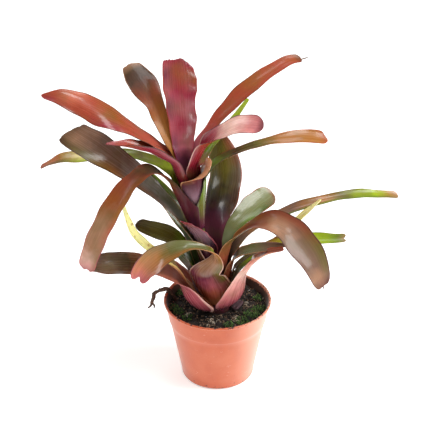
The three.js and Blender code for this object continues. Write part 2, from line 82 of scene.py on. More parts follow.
def addNode(tree, kind, inputs=None, stops=(), **settings):
    node = tree.nodes.new(kind)
    for name, value in settings.items():
        setattr(node, name, value)
    setInputs(tree, node, inputs or {})
    for i, (position, colour) in enumerate(stops):
        element = node.color_ramp.elements[i] if i < 2 else node.color_ramp.elements.new(position)
        element.position = position
        element.color = colour
    return node


def newMaterial(name):
    material = bpy.data.materials.new(name)
    material.use_nodes = True
    tree = material.node_tree
    return material, tree, tree.nodes["Principled BSDF"]


def newObject(name, vertices, faces, material=None, attributes=None):
    mesh = bpy.data.meshes.new(name)
    mesh.from_pydata([tuple(v) for v in vertices], [], [tuple(f) for f in faces])
    for key, values in (attributes or {}).items():
        layer = mesh.attributes.new(key, "FLOAT", "POINT")
        layer.data.foreach_set("value", np.asarray(values, np.float32))
    mesh.shade_smooth()
    if material:
        mesh.materials.append(material)
    piece = bpy.data.objects.new(name, mesh)
    bpy.context.scene.collection.objects.link(piece)
    return piece


def newTree(name, sockets):  # a Geometry Nodes tree with named inputs: (name, kind, value)
    tree = bpy.data.node_groups.new(name, "GeometryNodeTree")
    tree.interface.new_socket("Geometry", in_out="INPUT", socket_type="NodeSocketGeometry")
    for label, kind, value in sockets:
        socket = tree.interface.new_socket(label, in_out="INPUT", socket_type=f"NodeSocket{kind}")
        if value is not None:
            socket.default_value = value
    tree.interface.new_socket("Geometry", in_out="OUTPUT", socket_type="NodeSocketGeometry")
    return tree, addNode(tree, "NodeGroupInput").outputs


def endTree(tree, geometry, material):  # realizes the instances, sets the material and closes the tree
    real = addNode(tree, "GeometryNodeRealizeInstances", {"Geometry": geometry})
    painted = addNode(tree, "GeometryNodeSetMaterial", {"Geometry": real, "Material": material})
    addNode(tree, "NodeGroupOutput", {0: painted})


def growTree(piece, tree, values):  # runs a tree on a piece and keeps the result as a plain mesh
    modifier = piece.modifiers.new(tree.name, "NODES")
    modifier.node_group = tree
    for item in tree.interface.items_tree:
        if item.in_out == "INPUT" and item.name in values:
            modifier[item.identifier] = values[item.name]
    graph = bpy.context.evaluated_depsgraph_get()
    grown = bpy.data.meshes.new_from_object(piece.evaluated_get(graph), depsgraph=graph)
    piece.modifiers.remove(modifier)
    piece.data = grown
    piece.data.name = piece.name
    grown.shade_smooth()


def handIn(piece, node):
    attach(piece, "root")
    if node:
        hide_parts(node)


def spread(values, t):  # a list spread evenly over 0..1, read smoothly between its entries
    values = np.asarray(values, float)
    if len(values) == 1:
        return np.full_like(t, values[0])
    at = np.clip(t, 0, 1) * (len(values) - 1)
    i = np.minimum(at.astype(int), len(values) - 2)
    f = at - i
    a, b = values[i], values[i + 1]
    slopeA = (b - values[np.maximum(i - 1, 0)]) / 2
    slopeB = (values[np.minimum(i + 2, len(values) - 1)] - a) / 2
    return a + (b - a) * f * f * (3 - 2 * f) + f * (1 - f) * (slopeA * (1 - f) - slopeB * f)


def smooth(start, end, x):
    share = np.clip((x - start) / (end - start), 0, 1)
    return share * share * (3 - 2 * share)


def curveLine(points):  # a centripetal spline through the points, and the length run at each
    points = np.asarray(points, float)
    full = np.vstack([2 * points[0] - points[1], points, 2 * points[-1] - points[-2]])
    stepsPerSpan = 60
    s = np.linspace(0, 1, stepsPerSpan, endpoint=False)[:, None]
    line = []
    for p0, p1, p2, p3 in zip(full, full[1:], full[2:], full[3:]):
        d0, d1, d2 = (np.linalg.norm(b - a) ** 0.5 for a, b in ((p0, p1), (p1, p2), (p2, p3)))
        m1 = ((p1 - p0) / d0 - (p2 - p0) / (d0 + d1) + (p2 - p1) / d1) * d1
        m2 = ((p2 - p1) / d1 - (p3 - p1) / (d1 + d2) + (p3 - p2) / d2) * d1
        line.append(p1 + m1 * s + (3 * (p2 - p1) - 2 * m1 - m2) * s**2 + (2 * (p1 - p2) + m1 + m2) * s**3)
    line = np.vstack(line + [points[-1:]])
    run = np.concatenate([[0], np.cumsum(np.linalg.norm(np.diff(line, axis=0), axis=1))])
    return line, run


def alongLine(line, run, distance):
    return np.stack([np.interp(distance, run, line[:, k]) for k in range(3)], -1)


def unit(vectors):
    return vectors / np.maximum(np.linalg.norm(vectors, axis=-1, keepdims=True), 1e-12)


def ringFaces(rings, sides):  # faces between rings of points, and one over each end
    faces = []
    for i in range(rings - 1):
        for j in range(sides):
            a, b = i * sides + j, i * sides + (j + 1) % sides
            faces.append((a, b, b + sides, a + sides))
    faces.append(tuple(reversed(range(sides))))
    faces.append(tuple(range((rings - 1) * sides, rings * sides)))
    return faces


def tube(path, radii, sides, step, wobble=0):  # a round tube, closed at both ends; metres
    line, run = curveLine(path)
    count = max(3, round(run[-1] / step))
    share = np.linspace(0, 1, count + 1)
    centres = alongLine(line, run, share * run[-1])
    tangents = unit(np.gradient(centres, axis=0))
    side = unit(np.cross(tangents[0], [0.3, 0.9, 0.2]))  # across a direction that no tube starts in
    wrinkle = 3 * mm
    vertices = []
    for centre, tangent, radius in zip(centres, tangents, spread(radii, share)):
        side = unit(side - tangent * (side @ tangent))
        other = np.cross(tangent, side)
        for j in range(sides):
            angle = fullTurn * j / sides
            swell = 1 + wobble * noise.noise(Vector(centre / wrinkle) + Vector((0, 0, j)))
            outward = math.cos(angle) * side + math.sin(angle) * other
            vertices.append(centre + radius * swell * outward)
    return vertices, ringFaces(count + 1, sides)


def joined(parts):  # several meshes' vertices and faces as one
    vertices, faces = [], []
    for v, f in parts:
        faces += [tuple(i + len(vertices) for i in face) for face in f]
        vertices += list(v)
    return vertices, faces


# The pot

pot = {  # millimetres, as in the CAD model, and the sizes and colours of its finish
    "height": 96, "rimRadius": 60, "footRadius": 41, "bandHeight": 24, "bandStep": 0.9, "bandSlope": 1.5,
    "wall": 1.5, "lip": 1.3, "footRound": 3, "footRing": 6, "footPad": 14, "footRise": 2.2,
    "drainHoles": 6, "drainRadius": 4, "drainCircle": 25, "drillDepth": 10, "sides": 144, "sharpFrom": 40,
    # the dark dust colour is also laid on the inside, where it is partly a stain and partly painted shade
    "colour": "#c4603a", "pale": "#cc7250", "deep": "#b9532f", "dustAndShade": "#2a1d16", "scuff": "#e8c4b0",
    # the colour and the x range, in mm, of the painted light on the +X side
    "paintedLight": "#e8ab92", "paintedLightFrom": 6, "paintedLightTo": 52,
    # the last entry is the height below which the inside is darkened: partly a wet-soil stain, partly painted
    # shade
    "cloud": 30, "speck": 2.2, "grain": 0.8, "dustyUpTo": 9, "dustyFrom": 92.5, "shadeAndStainBelow": 89,
}


def terracottaPlastic():  # injection-moulded polypropylene: satin, slightly translucent, rubbed pale in scuffs; painted light on its +X side and painted shade inside
    material, tree, shader = newMaterial("moulded polypropylene, terracotta colour")
    place = addNode(tree, "ShaderNodeTexCoord").outputs["Object"]
    parts = addNode(tree, "ShaderNodeSeparateXYZ", {0: place}).outputs
    cloud, specks, grain = [addNode(tree, "ShaderNodeTexNoise", {
        "Vector": place, "Scale": 1 / (pot[size] * mm), "Detail": detail}).outputs["Fac"]
        for size, detail in (("cloud", 4.0), ("speck", 3.0), ("grain", 2.0))]
    body = addNode(tree, "ShaderNodeValToRGB", {"Fac": cloud}, stops=[
        (0.25, linear(pot["deep"])), (0.5, linear(pot["colour"])), (0.8, linear(pot["pale"]))])
    # painted light: the +X side, where the right-hand softbox falls, is painted paler
    paintedLightSide = addNode(tree, "ShaderNodeMapRange", {
        "Value": parts["X"], 1: pot["paintedLightFrom"] * mm, 2: pot["paintedLightTo"] * mm, 4: 0.7},
        interpolation_type="SMOOTHSTEP")
    # scuffs: short level scratches, about 8 mm long and 0.5 mm high
    stretched = addNode(tree, "ShaderNodeMapping", {"Vector": place, "Scale": (120, 120, 1900)})
    scratch = addNode(tree, "ShaderNodeTexNoise", {"Vector": stretched, "Scale": 1.0, "Detail": 2.0})
    scuffs = addNode(tree, "ShaderNodeMapRange", {"Value": scratch.outputs["Fac"], 1: 0.71, 2: 0.78})
    # soil dust in specks of a millimetre or two, near the foot and along the lip
    foot = addNode(tree, "ShaderNodeMapRange", {"Value": parts["Z"], 1: pot["dustyUpTo"] * mm, 2: 0.5 * mm})
    lip = addNode(tree, "ShaderNodeMapRange", {
        "Value": parts["Z"], 1: pot["dustyFrom"] * mm, 2: pot["height"] * mm})
    near = addNode(tree, "ShaderNodeMath", {0: foot, 1: lip}, operation="MAXIMUM")
    lifted = addNode(tree, "ShaderNodeMath", {0: near, 1: 0.2, 2: specks}, operation="MULTIPLY_ADD")
    dirt = addNode(tree, "ShaderNodeMapRange", {"Value": lifted, 1: 0.74, 2: 0.8})
    # the inside is darkened up to a few millimetres below the lip: partly a wet-soil stain, partly painted
    # shade on the inner wall
    flat = addNode(tree, "ShaderNodeVectorMath", {0: place, 1: (1, 1, 0)}, operation="MULTIPLY")
    radius = addNode(tree, "ShaderNodeVectorMath", {0: flat}, operation="LENGTH")
    slope = (wallRadius(pot["height"]) - wallRadius(0)) / pot["height"]
    within = addNode(tree, "ShaderNodeMath", {0: parts["Z"], 1: -slope, 2: radius.outputs["Value"]},
                     operation="MULTIPLY_ADD")
    innerSkin = (wallRadius(0) - pot["wall"] * 0.8) * mm
    inside = addNode(tree, "ShaderNodeMath", {0: within, 1: innerSkin}, operation="LESS_THAN")
    shadeAndStainTop = addNode(tree, "ShaderNodeMapRange", {
        "Value": parts["Z"], 1: pot["height"] * mm, 2: pot["shadeAndStainBelow"] * mm, 3: 0.2, 4: 1.1})
    uneven = addNode(tree, "ShaderNodeMath", {0: specks, 1: shadeAndStainTop}, operation="ADD")
    shadeAndStainTone = addNode(tree, "ShaderNodeMapRange", {"Value": uneven, 1: 0.8, 2: 1.1, 4: 0.94})
    shadeAndStain = addNode(tree, "ShaderNodeMath", {0: shadeAndStainTone, 1: inside}, operation="MULTIPLY")
    colour = body
    for share, name in ((paintedLightSide, "paintedLight"), (scuffs, "scuff"), (dirt, "dustAndShade"), (shadeAndStain, "dustAndShade")):
        colour = addNode(tree, "ShaderNodeMix", {
            "Factor": share, "A": colour, "B": linear(pot[name])}, data_type="RGBA").outputs[2]
    rough = addNode(tree, "ShaderNodeMapRange", {"Value": cloud, 3: 0.3, 4: 0.48})
    bump = addNode(tree, "ShaderNodeBump", {"Height": grain, "Strength": 0.12, "Distance": 0.1 * mm})
    setInputs(tree, shader, {
        "Base Color": colour, "Roughness": rough, "Normal": bump, "IOR": 1.49,
        "Sheen Weight": 0.4, "Sheen Roughness": 0.35, "Subsurface Weight": 0.25,
        "Subsurface Radius": (1.0, 0.4, 0.2), "Subsurface Scale": 3 * mm})
    return material


def wallRadius(z):  # the wall's outer radius at a height, without the step below the band
    return pot["footRadius"] + (pot["rimRadius"] - pot["lip"] - pot["footRadius"]) * z / pot["height"]


def arc(x, z, radius, start, end, steps):
    angles = np.radians(np.linspace(start, end, steps + 1))
    return [(x + radius * math.cos(a), z + radius * math.sin(a)) for a in angles]


def potProfile():  # radius and height, from the middle of the foot round the lip to the inner floor
    bandFoot = pot["height"] - pot["bandHeight"]
    rise, step, slope, wall = (pot[key] for key in ("footRise", "bandStep", "bandSlope", "wall"))
    floorTop = rise + wall
    ring = pot["footRadius"] - pot["footRing"]
    pad = pot["footPad"]
    outside = [(wallRadius(z) - step, z) for z in np.linspace(6, bandFoot - slope - 0.4, 12)]
    band = [(wallRadius(z), z) for z in np.linspace(bandFoot + 0.2, pot["height"] - 3, 6)]
    inside = [(wallRadius(z) - wall, z) for z in np.linspace(pot["height"] - 4, bandFoot, 6)]
    lower = [(wallRadius(z) - wall - step, z) for z in np.linspace(bandFoot - slope, floorTop + 1.2, 10)]
    return [
        (pad - 0.3, 0), (pad, 0.1), (pad + 1, rise - 0.1), (pad + 1.4, rise),
        (ring - 0.3, rise), (ring, rise - 0.1), (ring + 0.9, 0.1), (ring + 1.2, 0),
        *arc(pot["footRadius"] - pot["footRound"], pot["footRound"], pot["footRound"], -90, -5, 8),
        *outside, (wallRadius(bandFoot) - step * 0.15, bandFoot - 0.2), *band,
        *arc(pot["rimRadius"] - pot["lip"], pot["height"] - pot["lip"], pot["lip"], -55, 155, 12),
        *inside, *lower, (lower[-1][0] - 0.4, floorTop + 0.3), (lower[-1][0] - 1.4, floorTop),
        (pad + 1.6, floorTop), (pad + 1, floorTop - 0.1), (pad - 0.2, wall + 0.1), (pad - 0.6, wall),
    ]


def drillTree():  # cuts a ring of round drain holes
    tree, given = newTree("drain holes", [
        ("Holes", "Int", pot["drainHoles"]), ("Hole radius", "Float", pot["drainRadius"] * mm),
        ("Circle radius", "Float", pot["drainCircle"] * mm), ("Depth", "Float", pot["drillDepth"] * mm),
        ("Plastic", "Material", None)])
    circle = addNode(tree, "GeometryNodeMeshCircle", {
        "Vertices": given["Holes"], "Radius": given["Circle radius"]})
    drill = addNode(tree, "GeometryNodeMeshCylinder", {
        "Vertices": 32, "Radius": given["Hole radius"], "Depth": given["Depth"]})
    drills = addNode(tree, "GeometryNodeInstanceOnPoints", {"Points": circle, "Instance": drill})
    real = addNode(tree, "GeometryNodeRealizeInstances", {0: drills})
    cut = addNode(tree, "GeometryNodeMeshBoolean", {0: given["Geometry"], 1: real},
                  operation="DIFFERENCE", solver="EXACT")
    endTree(tree, cut, given["Plastic"])
    return tree


def makePot():
    profile = np.array(potProfile()) * mm
    angles = np.linspace(0, fullTurn, pot["sides"], endpoint=False)
    vertices = [(r * math.cos(a), r * math.sin(a), z) for r, z in profile for a in angles]
    plastic = terracottaPlastic()
    piece = newObject("nurseryPot", vertices, ringFaces(len(profile), pot["sides"]), plastic)
    growTree(piece, drillTree(), {"Plastic": plastic})
    piece.data.set_sharp_from_angle(angle=math.radians(pot["sharpFrom"]))
    handIn(piece, "pot")


makePot()
print("pot made")

# The soil and what lies on it

soil = {  # millimetres
    "level": 86, "mound": 1.6, "lump": 1.3, "flatTo": 16, "moundFrom": 34, "under": 0.6, "clearance": 0.6,
    "waves": [(0.31, 0.11, 1.3), (0.17, -0.43, 2.1), (0.61, 0.52, 0), (-0.24, 0.37, 0.8)],
    "clod": 6, "clodHeight": 2.6, "sides": 160, "rings": 42, "wellRadius": 14.8, "wellFoot": 61.7,
    "clodFades": ((15, 19), (57.5, 55)),  # level at the stem and at the pot's wall
    "dark": "#0d0a08", "brown": "#221812", "dry": "#4a3626",
}


def soilHeight(x, y):  # millimetres
    r = math.hypot(x, y)
    lumps = sum(math.sin(x * kx + y * ky + phase) for kx, ky, phase in soil["waves"])
    outward = float(smooth(soil["flatTo"], soil["moundFrom"], r))
    mound = soil["mound"] * float(smooth(pot["rimRadius"], soil["moundFrom"], r))
    broad = outward * (mound + soil["lump"] * lumps / len(soil["waves"]))
    clods = noise.fractal(Vector((x, y, 3)) / soil["clod"], 1.0, 2.0, 3) * soil["clodHeight"]
    for start, end in soil["clodFades"]:
        clods *= float(smooth(start, end, r))
    return soil["level"] - soil["under"] + broad + clods


def peat():  # peat and bark compost: matt, nearly black where damp, browner where it has dried
    material, tree, shader = newMaterial("peat potting compost")
    place = addNode(tree, "ShaderNodeTexCoord").outputs["Object"]
    clods = addNode(tree, "ShaderNodeTexNoise", {"Vector": place, "Scale": 1 / (3 * mm), "Detail": 6.0})
    colour = addNode(tree, "ShaderNodeValToRGB", {"Fac": clods.outputs["Fac"]}, stops=[
        (0.35, linear(soil["dark"])), (0.55, linear(soil["brown"])), (0.78, linear(soil["dry"]))])
    fine = addNode(tree, "ShaderNodeTexNoise", {"Vector": place, "Scale": 1 / (0.7 * mm), "Detail": 4.0})
    bump = addNode(tree, "ShaderNodeBump", {
        "Height": fine.outputs["Fac"], "Strength": 0.7, "Distance": 0.6 * mm})
    setInputs(tree, shader, {"Base Color": colour, "Normal": bump, "Roughness": 0.85})
    return material


def soilSide(z):  # the soil's radius at a height, just clear of the pot's wall
    return wallRadius(z) - pot["wall"] - pot["bandStep"] - soil["clearance"]


def makeSoil():
    floorTop = pot["footRise"] + pot["wall"]
    pad, inner, sides = pot["footPad"], soil["wellRadius"], soil["sides"]
    lift = soil["clearance"] / 2
    wall = [(soilSide(z), z) for z in np.linspace(floorTop + 2, soil["level"] - 1, 12)]
    top = [(r, None) for r in np.linspace(soilSide(soil["level"]), inner, soil["rings"])]
    profile = [
        (pad * 0.5, pot["wall"] + lift), (pad, pot["wall"] + lift), (pad + 1, floorTop + lift),
        (soilSide(floorTop) - 2, floorTop + lift), *wall, *top,
        (inner, soil["wellFoot"] + 4), (inner - 0.5, soil["wellFoot"]),
    ]
    vertices = []
    for r, z in profile:
        for a in np.linspace(0, fullTurn, sides, endpoint=False):
            x, y = r * math.cos(a), r * math.sin(a)
            vertices.append((x * mm, y * mm, (soilHeight(x, y) if z is None else z) * mm))
    piece = newObject("pottingSoil", vertices, ringFaces(len(profile), sides), peat())
    handIn(piece, "soil")


# A patch of the soil's surface, as ground for what is scattered on it; millimetres
def soilPatch(name, x, y, radius, inner=0):
    vertices, faces = [], []
    rings, sides = 8, 24
    for i in range(rings + 1):
        r = inner + (radius - inner) * i / rings
        for a in np.linspace(0, fullTurn, sides, endpoint=False):
            px, py = x + r * math.cos(a), y + r * math.sin(a)
            vertices.append((px * mm, py * mm, soilHeight(px, py) * mm))
    for i in range(rings):
        for j in range(sides):
            a, b = i * sides + j, i * sides + (j + 1) % sides
            faces.append((a, a + sides, b + sides, b))
    return newObject(name, vertices, faces)


litter = {  # what is scattered: millimetres, how many to a square centimetre, dark to light, roughness
    "crumbs": {"size": (0.6, 2.8), "perCm2": 28, "colours": ("#0d0907", "#2a1c14", "#8a7058"), "rough": 0.9},
    "perlite": {
        "size": (0.8, 1.5), "perCm2": 0.3, "colours": ("#c9c4b4", "#e9e6da", "#ffffff"), "rough": 0.8},
    "moss": {"size": (1.6, 3.4), "perCm2": 200, "colours": ("#0a1808", "#173413", "#6a9040"), "rough": 0.6},
}


def grainy(name, colours, roughness, scale):  # a matt grain with its colour varying from one to the next
    material, tree, shader = newMaterial(name)
    place = addNode(tree, "ShaderNodeTexCoord").outputs["Object"]
    tone = addNode(tree, "ShaderNodeAttribute", attribute_name="tone").outputs["Fac"]
    cloud = addNode(tree, "ShaderNodeTexNoise", {
        "Vector": place, "Scale": 1 / (scale * mm), "Detail": 3.0}).outputs["Fac"]
    both = addNode(tree, "ShaderNodeMath", {0: cloud, 1: 0.5, 2: tone}, operation="MULTIPLY_ADD")
    colour = addNode(tree, "ShaderNodeValToRGB", {"Fac": both}, stops=[
        (0.45, linear(colours[0])), (0.8, linear(colours[1])), (1.0, linear(colours[2]))])
    setInputs(tree, shader, {"Base Color": colour, "Roughness": roughness})
    return material


# Sets grains on random points of the ground, each turned its own way and with a tone of its own
def strew(tree, given, density, grain, lean, scale, toneSeed):
    points = addNode(tree, "GeometryNodeDistributePointsOnFaces", {
        "Mesh": given["Geometry"], "Density": density, "Seed": given["Seed"]})
    turn = addNode(tree, "FunctionNodeRandomValue", {
        0: (-lean, -lean, -math.pi), 1: (lean, lean, math.pi), "Seed": given["Seed"]},
        data_type="FLOAT_VECTOR")
    grown = addNode(tree, "GeometryNodeInstanceOnPoints", {
        "Points": points, "Instance": grain, "Rotation": turn, "Scale": scale})
    tone = addNode(tree, "FunctionNodeRandomValue", {2: 0.0, 3: 1.0, "Seed": toneSeed}, data_type="FLOAT")
    toned = addNode(tree, "GeometryNodeStoreNamedAttribute", {
        "Geometry": grown, "Name": "tone", "Value": tone.outputs[1]},
        data_type="FLOAT", domain="INSTANCE")
    endTree(tree, toned, given["Finish"])


# Scatters grains over a surface: lumpy pebbles, or leaflets that stand up from it
def scatterTree(name, leaflet):
    tree, given = newTree(name, [
        ("Grains per m2", "Float", 1e5), ("Smallest", "Float", 1 * mm), ("Largest", "Float", 2 * mm),
        ("Seed", "Int", 3), ("Finish", "Material", None)])
    if leaflet:
        grain = addNode(tree, "GeometryNodeMeshCone", {
            "Vertices": 4, "Side Segments": 2, "Radius Top": 0.03, "Radius Bottom": 0.2, "Depth": 1.0})
        lean, low = 0.9, (0.8, 0.8, 0.8)
    else:
        ball = addNode(tree, "GeometryNodeMeshIcoSphere", {"Radius": 0.5, "Subdivisions": 2})
        lump = addNode(tree, "ShaderNodeTexNoise", {"Scale": 2.2, "Detail": 1.0})
        centred = addNode(tree, "ShaderNodeVectorMath", {0: lump.outputs["Color"], 1: (0.5, 0.5, 0.5)},
                          operation="SUBTRACT")
        grain = addNode(tree, "GeometryNodeSetPosition", {"Geometry": ball, "Offset": centred})
        lean, low = math.pi, (0.6, 0.6, 0.5)
    size = addNode(tree, "FunctionNodeRandomValue", {
        2: given["Smallest"], 3: given["Largest"], "Seed": given["Seed"]}, data_type="FLOAT")
    shape = addNode(tree, "FunctionNodeRandomValue", {0: low, 1: (1.0, 1.0, 1.0), "Seed": given["Seed"]},
                    data_type="FLOAT_VECTOR")
    scale = addNode(tree, "ShaderNodeVectorMath", {0: shape, "Scale": size.outputs[1]}, operation="SCALE")
    strew(tree, given, given["Grains per m2"], grain, lean, scale, toneSeed=9)
    return tree


def scatter(ground, tree, what, finish, seed):
    values = litter[what]
    growTree(ground, tree, {
        "Grains per m2": values["perCm2"] / squareCm, "Smallest": values["size"][0] * mm,
        "Largest": values["size"][1] * mm, "Seed": seed, "Finish": finish[what]})
    handIn(ground, None)


mossPatches = [  # x, y, radius
    (-48, -4, 6), (-43, -14, 6), (-33, -24, 6), (38, -17, 9), (47, -6, 7), (27, -31, 8), (12, -40, 6),
    (46, 14, 6), (-20, 44, 8), (14, 46, 7), (-42, 26, 6),
]


def makeLitter():
    pebbles = scatterTree("scattered grains", False)
    leaflets = scatterTree("scattered moss", True)
    finish = {what: grainy(f"{what} on the soil", v["colours"], v["rough"], 2.5)
              for what, v in litter.items()}
    scatter(soilPatch("soilCrumbs", 0, 0, radius=55, inner=19), pebbles, "crumbs", finish, seed=5)
    scatter(soilPatch("perliteGrains", 0, 0, radius=52, inner=18), pebbles, "perlite", finish, seed=11)
    for i, (x, y, radius) in enumerate(mossPatches):
        scatter(soilPatch(f"moss{i + 1}", x, y, radius), leaflets, "moss", finish, seed=20 + i)


fibres = {  # millimetres; tangles: x, y, radius; bend and thread: radius of a fibre's bow and of itself
    "tangles": [(31, -1, 4), (-32, -19, 4), (-7, -37, 5), (20, -27, 5), (51, 10, 4), (2, -30, 4),
                (44, -28, 3)],
    "perCm2": 14, "bend": 2.6, "thread": 0.28, "sweep": 215, "kink": 2, "kinked": 2.5,
    "colours": ("#6a5846", "#b09a80", "#ded2bc"),
}


# Grows short curled threads from points of a surface
def threadTree():
    tree, given = newTree("curled fibres", [
        ("Fibres per m2", "Float", 1e4), ("Bend radius", "Float", fibres["bend"] * mm),
        ("Thread radius", "Float", fibres["thread"] * mm), ("Seed", "Int", 3), ("Finish", "Material", None)])
    bow = addNode(tree, "GeometryNodeCurveArc", {
        "Resolution": 14, "Radius": given["Bend radius"], "Sweep Angle": math.radians(fibres["sweep"])},
        mode="RADIUS")
    kink = addNode(tree, "ShaderNodeTexNoise", {"Scale": 1 / (fibres["kink"] * mm), "Detail": 1.0})
    centred = addNode(tree, "ShaderNodeVectorMath", {0: kink.outputs["Color"], 1: (0.5, 0.5, 0.5)},
                      operation="SUBTRACT")
    bent = addNode(tree, "ShaderNodeVectorMath", {0: centred, "Scale": fibres["kinked"] * mm},
                   operation="SCALE")
    kinked = addNode(tree, "GeometryNodeSetPosition", {"Geometry": bow, "Offset": bent})
    section = addNode(tree, "GeometryNodeCurvePrimitiveCircle", {
        "Resolution": 6, "Radius": given["Thread radius"]})
    thread = addNode(tree, "GeometryNodeCurveToMesh", {
        "Curve": kinked, "Profile Curve": section, "Fill Caps": True})
    size = addNode(tree, "FunctionNodeRandomValue", {2: 0.6, 3: 1.3, "Seed": given["Seed"]},
                   data_type="FLOAT")
    strew(tree, given, given["Fibres per m2"], thread, lean=1.2, scale=size.outputs[1], toneSeed=4)
    return tree


def makeFibres():
    tree = threadTree()
    finish = grainy("dry root fibres", fibres["colours"], 0.7, 3)
    for i, (x, y, radius) in enumerate(fibres["tangles"]):
        ground = soilPatch(f"fibres{i + 1}", x, y, radius)
        growTree(ground, tree, {
            "Fibres per m2": fibres["perCm2"] / squareCm, "Seed": 40 + i, "Finish": finish})
        handIn(ground, None)


barkChip = {  # millimetres; square: less is squarer; rough and roughSize: depth and size of its hollows
    "at": (22.5, -5, 90.6), "half": (6.6, 3.8, 1.6), "turns": (("Z", 35), ("X", 22), ("Y", -18)),
    "across": 16, "around": 32, "square": 0.45, "rough": 0.9, "roughSize": 2.5, "seed": 3,
    "colours": ("#3a2830", "#63484e", "#b09a94"),
}


def squared(value):  # draws a cosine or sine out, so that a ball becomes a block with round edges
    return math.copysign(abs(value) ** barkChip["square"], value)


def makeChip():
    across, around = barkChip["across"], barkChip["around"]
    noise.seed_set(barkChip["seed"])
    vertices = []
    for i in range(1, across):
        for j in range(around):
            low, turn = math.pi * (i / across - 0.5), fullTurn * j / around
            block = (squared(math.cos(low)) * squared(math.cos(turn)),
                     squared(math.cos(low)) * squared(math.sin(turn)), squared(math.sin(low)))
            point = Vector([a * b for a, b in zip(Vector(block), barkChip["half"])])
            point += noise.noise_vector(point / barkChip["roughSize"]) * barkChip["rough"]
            for axis, angle in barkChip["turns"]:
                point = Matrix.Rotation(math.radians(angle), 3, axis) @ point
            vertices.append((point + Vector(barkChip["at"])) * mm)
    tones = {"tone": np.full(len(vertices), 0.5)}
    finish = grainy("bark chip", barkChip["colours"], 0.8, 2)
    piece = newObject("barkChip", vertices, ringFaces(across - 1, around), finish, tones)
    handIn(piece, None)


makeSoil()
makeLitter()
makeChip()
makeFibres()
print("soil made")

# The stem

stem = {  # millimetres; foot and shoulder: out, up, radius; bends: out, up, tilt on the lower rosette's axis
    "sides": 48, "foot": (1, 62, 9), "shoulder": (0.5, 76, 13.5), "lowerRadius": (14.5, 5.5),
    "lowerLength": 45, "neckRadius": 6, "bends": [(-0.5, 68, 10), (-5, 84, 24)], "upperRadius": (6.6, 3),
    "upperLength": 58, "budLength": 8, "budRadius": 1, "steps": 6, "ring": 4, "brownBelow": 96,
}

# Each rosette's axis starts at its origin and leans towards -X, in degrees; the stem runs along it
rosettes = {
    "lower": {"origin": (0, 0, 86), "tilt": 6, "radius": stem["lowerRadius"], "length": stem["lowerLength"]},
    "upper": {
        "origin": (-20, 0, 182), "tilt": 9, "radius": stem["upperRadius"], "length": stem["upperLength"]},
}


def fromAxis(rosette, heading, points):  # [out, side, up] at a heading, in the object's own frame
    turn, lean = math.radians(heading), math.radians(rosette["tilt"])
    out, side, up = np.moveaxis(np.asarray(points, float), -1, 0)
    x = out * math.cos(turn) - side * math.sin(turn)
    y = out * math.sin(turn) + side * math.cos(turn)
    leaned = [x * math.cos(lean) - up * math.sin(lean), y, x * math.sin(lean) + up * math.cos(lean)]
    return np.stack(leaned, -1) + rosette["origin"]


def stemSkin():  # the green stem between the leaves: waxy, ringed where leaves have been
    material, tree, shader = newMaterial("green bromeliad stem")
    place = addNode(tree, "ShaderNodeTexCoord").outputs["Object"]
    height = addNode(tree, "ShaderNodeSeparateXYZ", {0: place}).outputs["Z"]
    cloud = addNode(tree, "ShaderNodeTexNoise", {"Vector": place, "Scale": 1 / (6 * mm), "Detail": 4.0})
    rings = addNode(tree, "ShaderNodeMath", {0: height, 1: fullTurn / (stem["ring"] * mm)},
                    operation="MULTIPLY")
    wave = addNode(tree, "ShaderNodeMath", {0: rings}, operation="SINE")
    mixed = addNode(tree, "ShaderNodeMath", {0: wave, 1: 0.12, 2: cloud.outputs["Fac"]},
                    operation="MULTIPLY_ADD")
    young, old = [addNode(tree, "ShaderNodeValToRGB", {"Fac": mixed}, stops=[
        (position, paint(name)) for position, name in stops]) for stops in (
        ((0.3, "umber"), (0.5, "olive"), (0.7, "leafGreen")), ((0.3, "umber"), (0.6, "wine"), (0.8, "plum")))]
    # near the soil it is brown and purple from old leaf feet
    low = addNode(tree, "ShaderNodeMapRange", {
        "Value": height, 1: (stem["brownBelow"] + 8) * mm, 2: stem["brownBelow"] * mm})
    colour = addNode(tree, "ShaderNodeMix", {"Factor": low, "A": young, "B": old}, data_type="RGBA")
    setInputs(tree, shader, {"Base Color": colour.outputs[2], "Roughness": 0.5})
    return material


def stemStations():  # centre, radius and tilt of the sections that the stem runs through
    lower, upper = rosettes["lower"], rosettes["upper"]
    stations = []
    for (out, up, radius), tilt in ((stem["foot"], 0), (stem["shoulder"], lower["tilt"] / 3)):
        stations.append(((out, 0, up), radius, tilt))
    onLower = [(0, 0, stem["lowerRadius"][0], lower["tilt"]),
               (0, stem["lowerLength"], stem["lowerRadius"][1], lower["tilt"]),
               *[(out, up, stem["neckRadius"], tilt) for out, up, tilt in stem["bends"]]]
    onUpper = [(0, 0, stem["upperRadius"][0], upper["tilt"]),
               (0, stem["upperLength"], stem["upperRadius"][1], upper["tilt"]),
               (0, stem["upperLength"] + stem["budLength"], stem["budRadius"], upper["tilt"])]
    for rosette, sections in ((lower, onLower), (upper, onUpper)):
        for out, up, radius, tilt in sections:
            stations.append((fromAxis(rosette, 0, (out, 0, up)), radius, tilt))
    return stations


def makeStem():
    stations = stemStations()
    sides, steps, vertices = stem["sides"], stem["steps"], []
    for (atA, rA, tiltA), (atB, rB, tiltB) in zip(stations, stations[1:]):
        for k in range(steps + (atB is stations[-1][0])):  # the last stretch takes in its own end
            f = k / steps
            centre = np.array(atA) * (1 - f) + np.array(atB) * f
            section = {"origin": centre, "tilt": tiltA * (1 - f) + tiltB * f}
            r = rA * (1 - f) + rB * f
            for j in range(sides):
                vertices.append(fromAxis(section, 360 * j / sides, (r, 0, 0)) * mm)
    piece = newObject("plantStem", vertices, ringFaces(len(vertices) // sides, sides), stemSkin())
    handIn(piece, "stem")


makeStem()

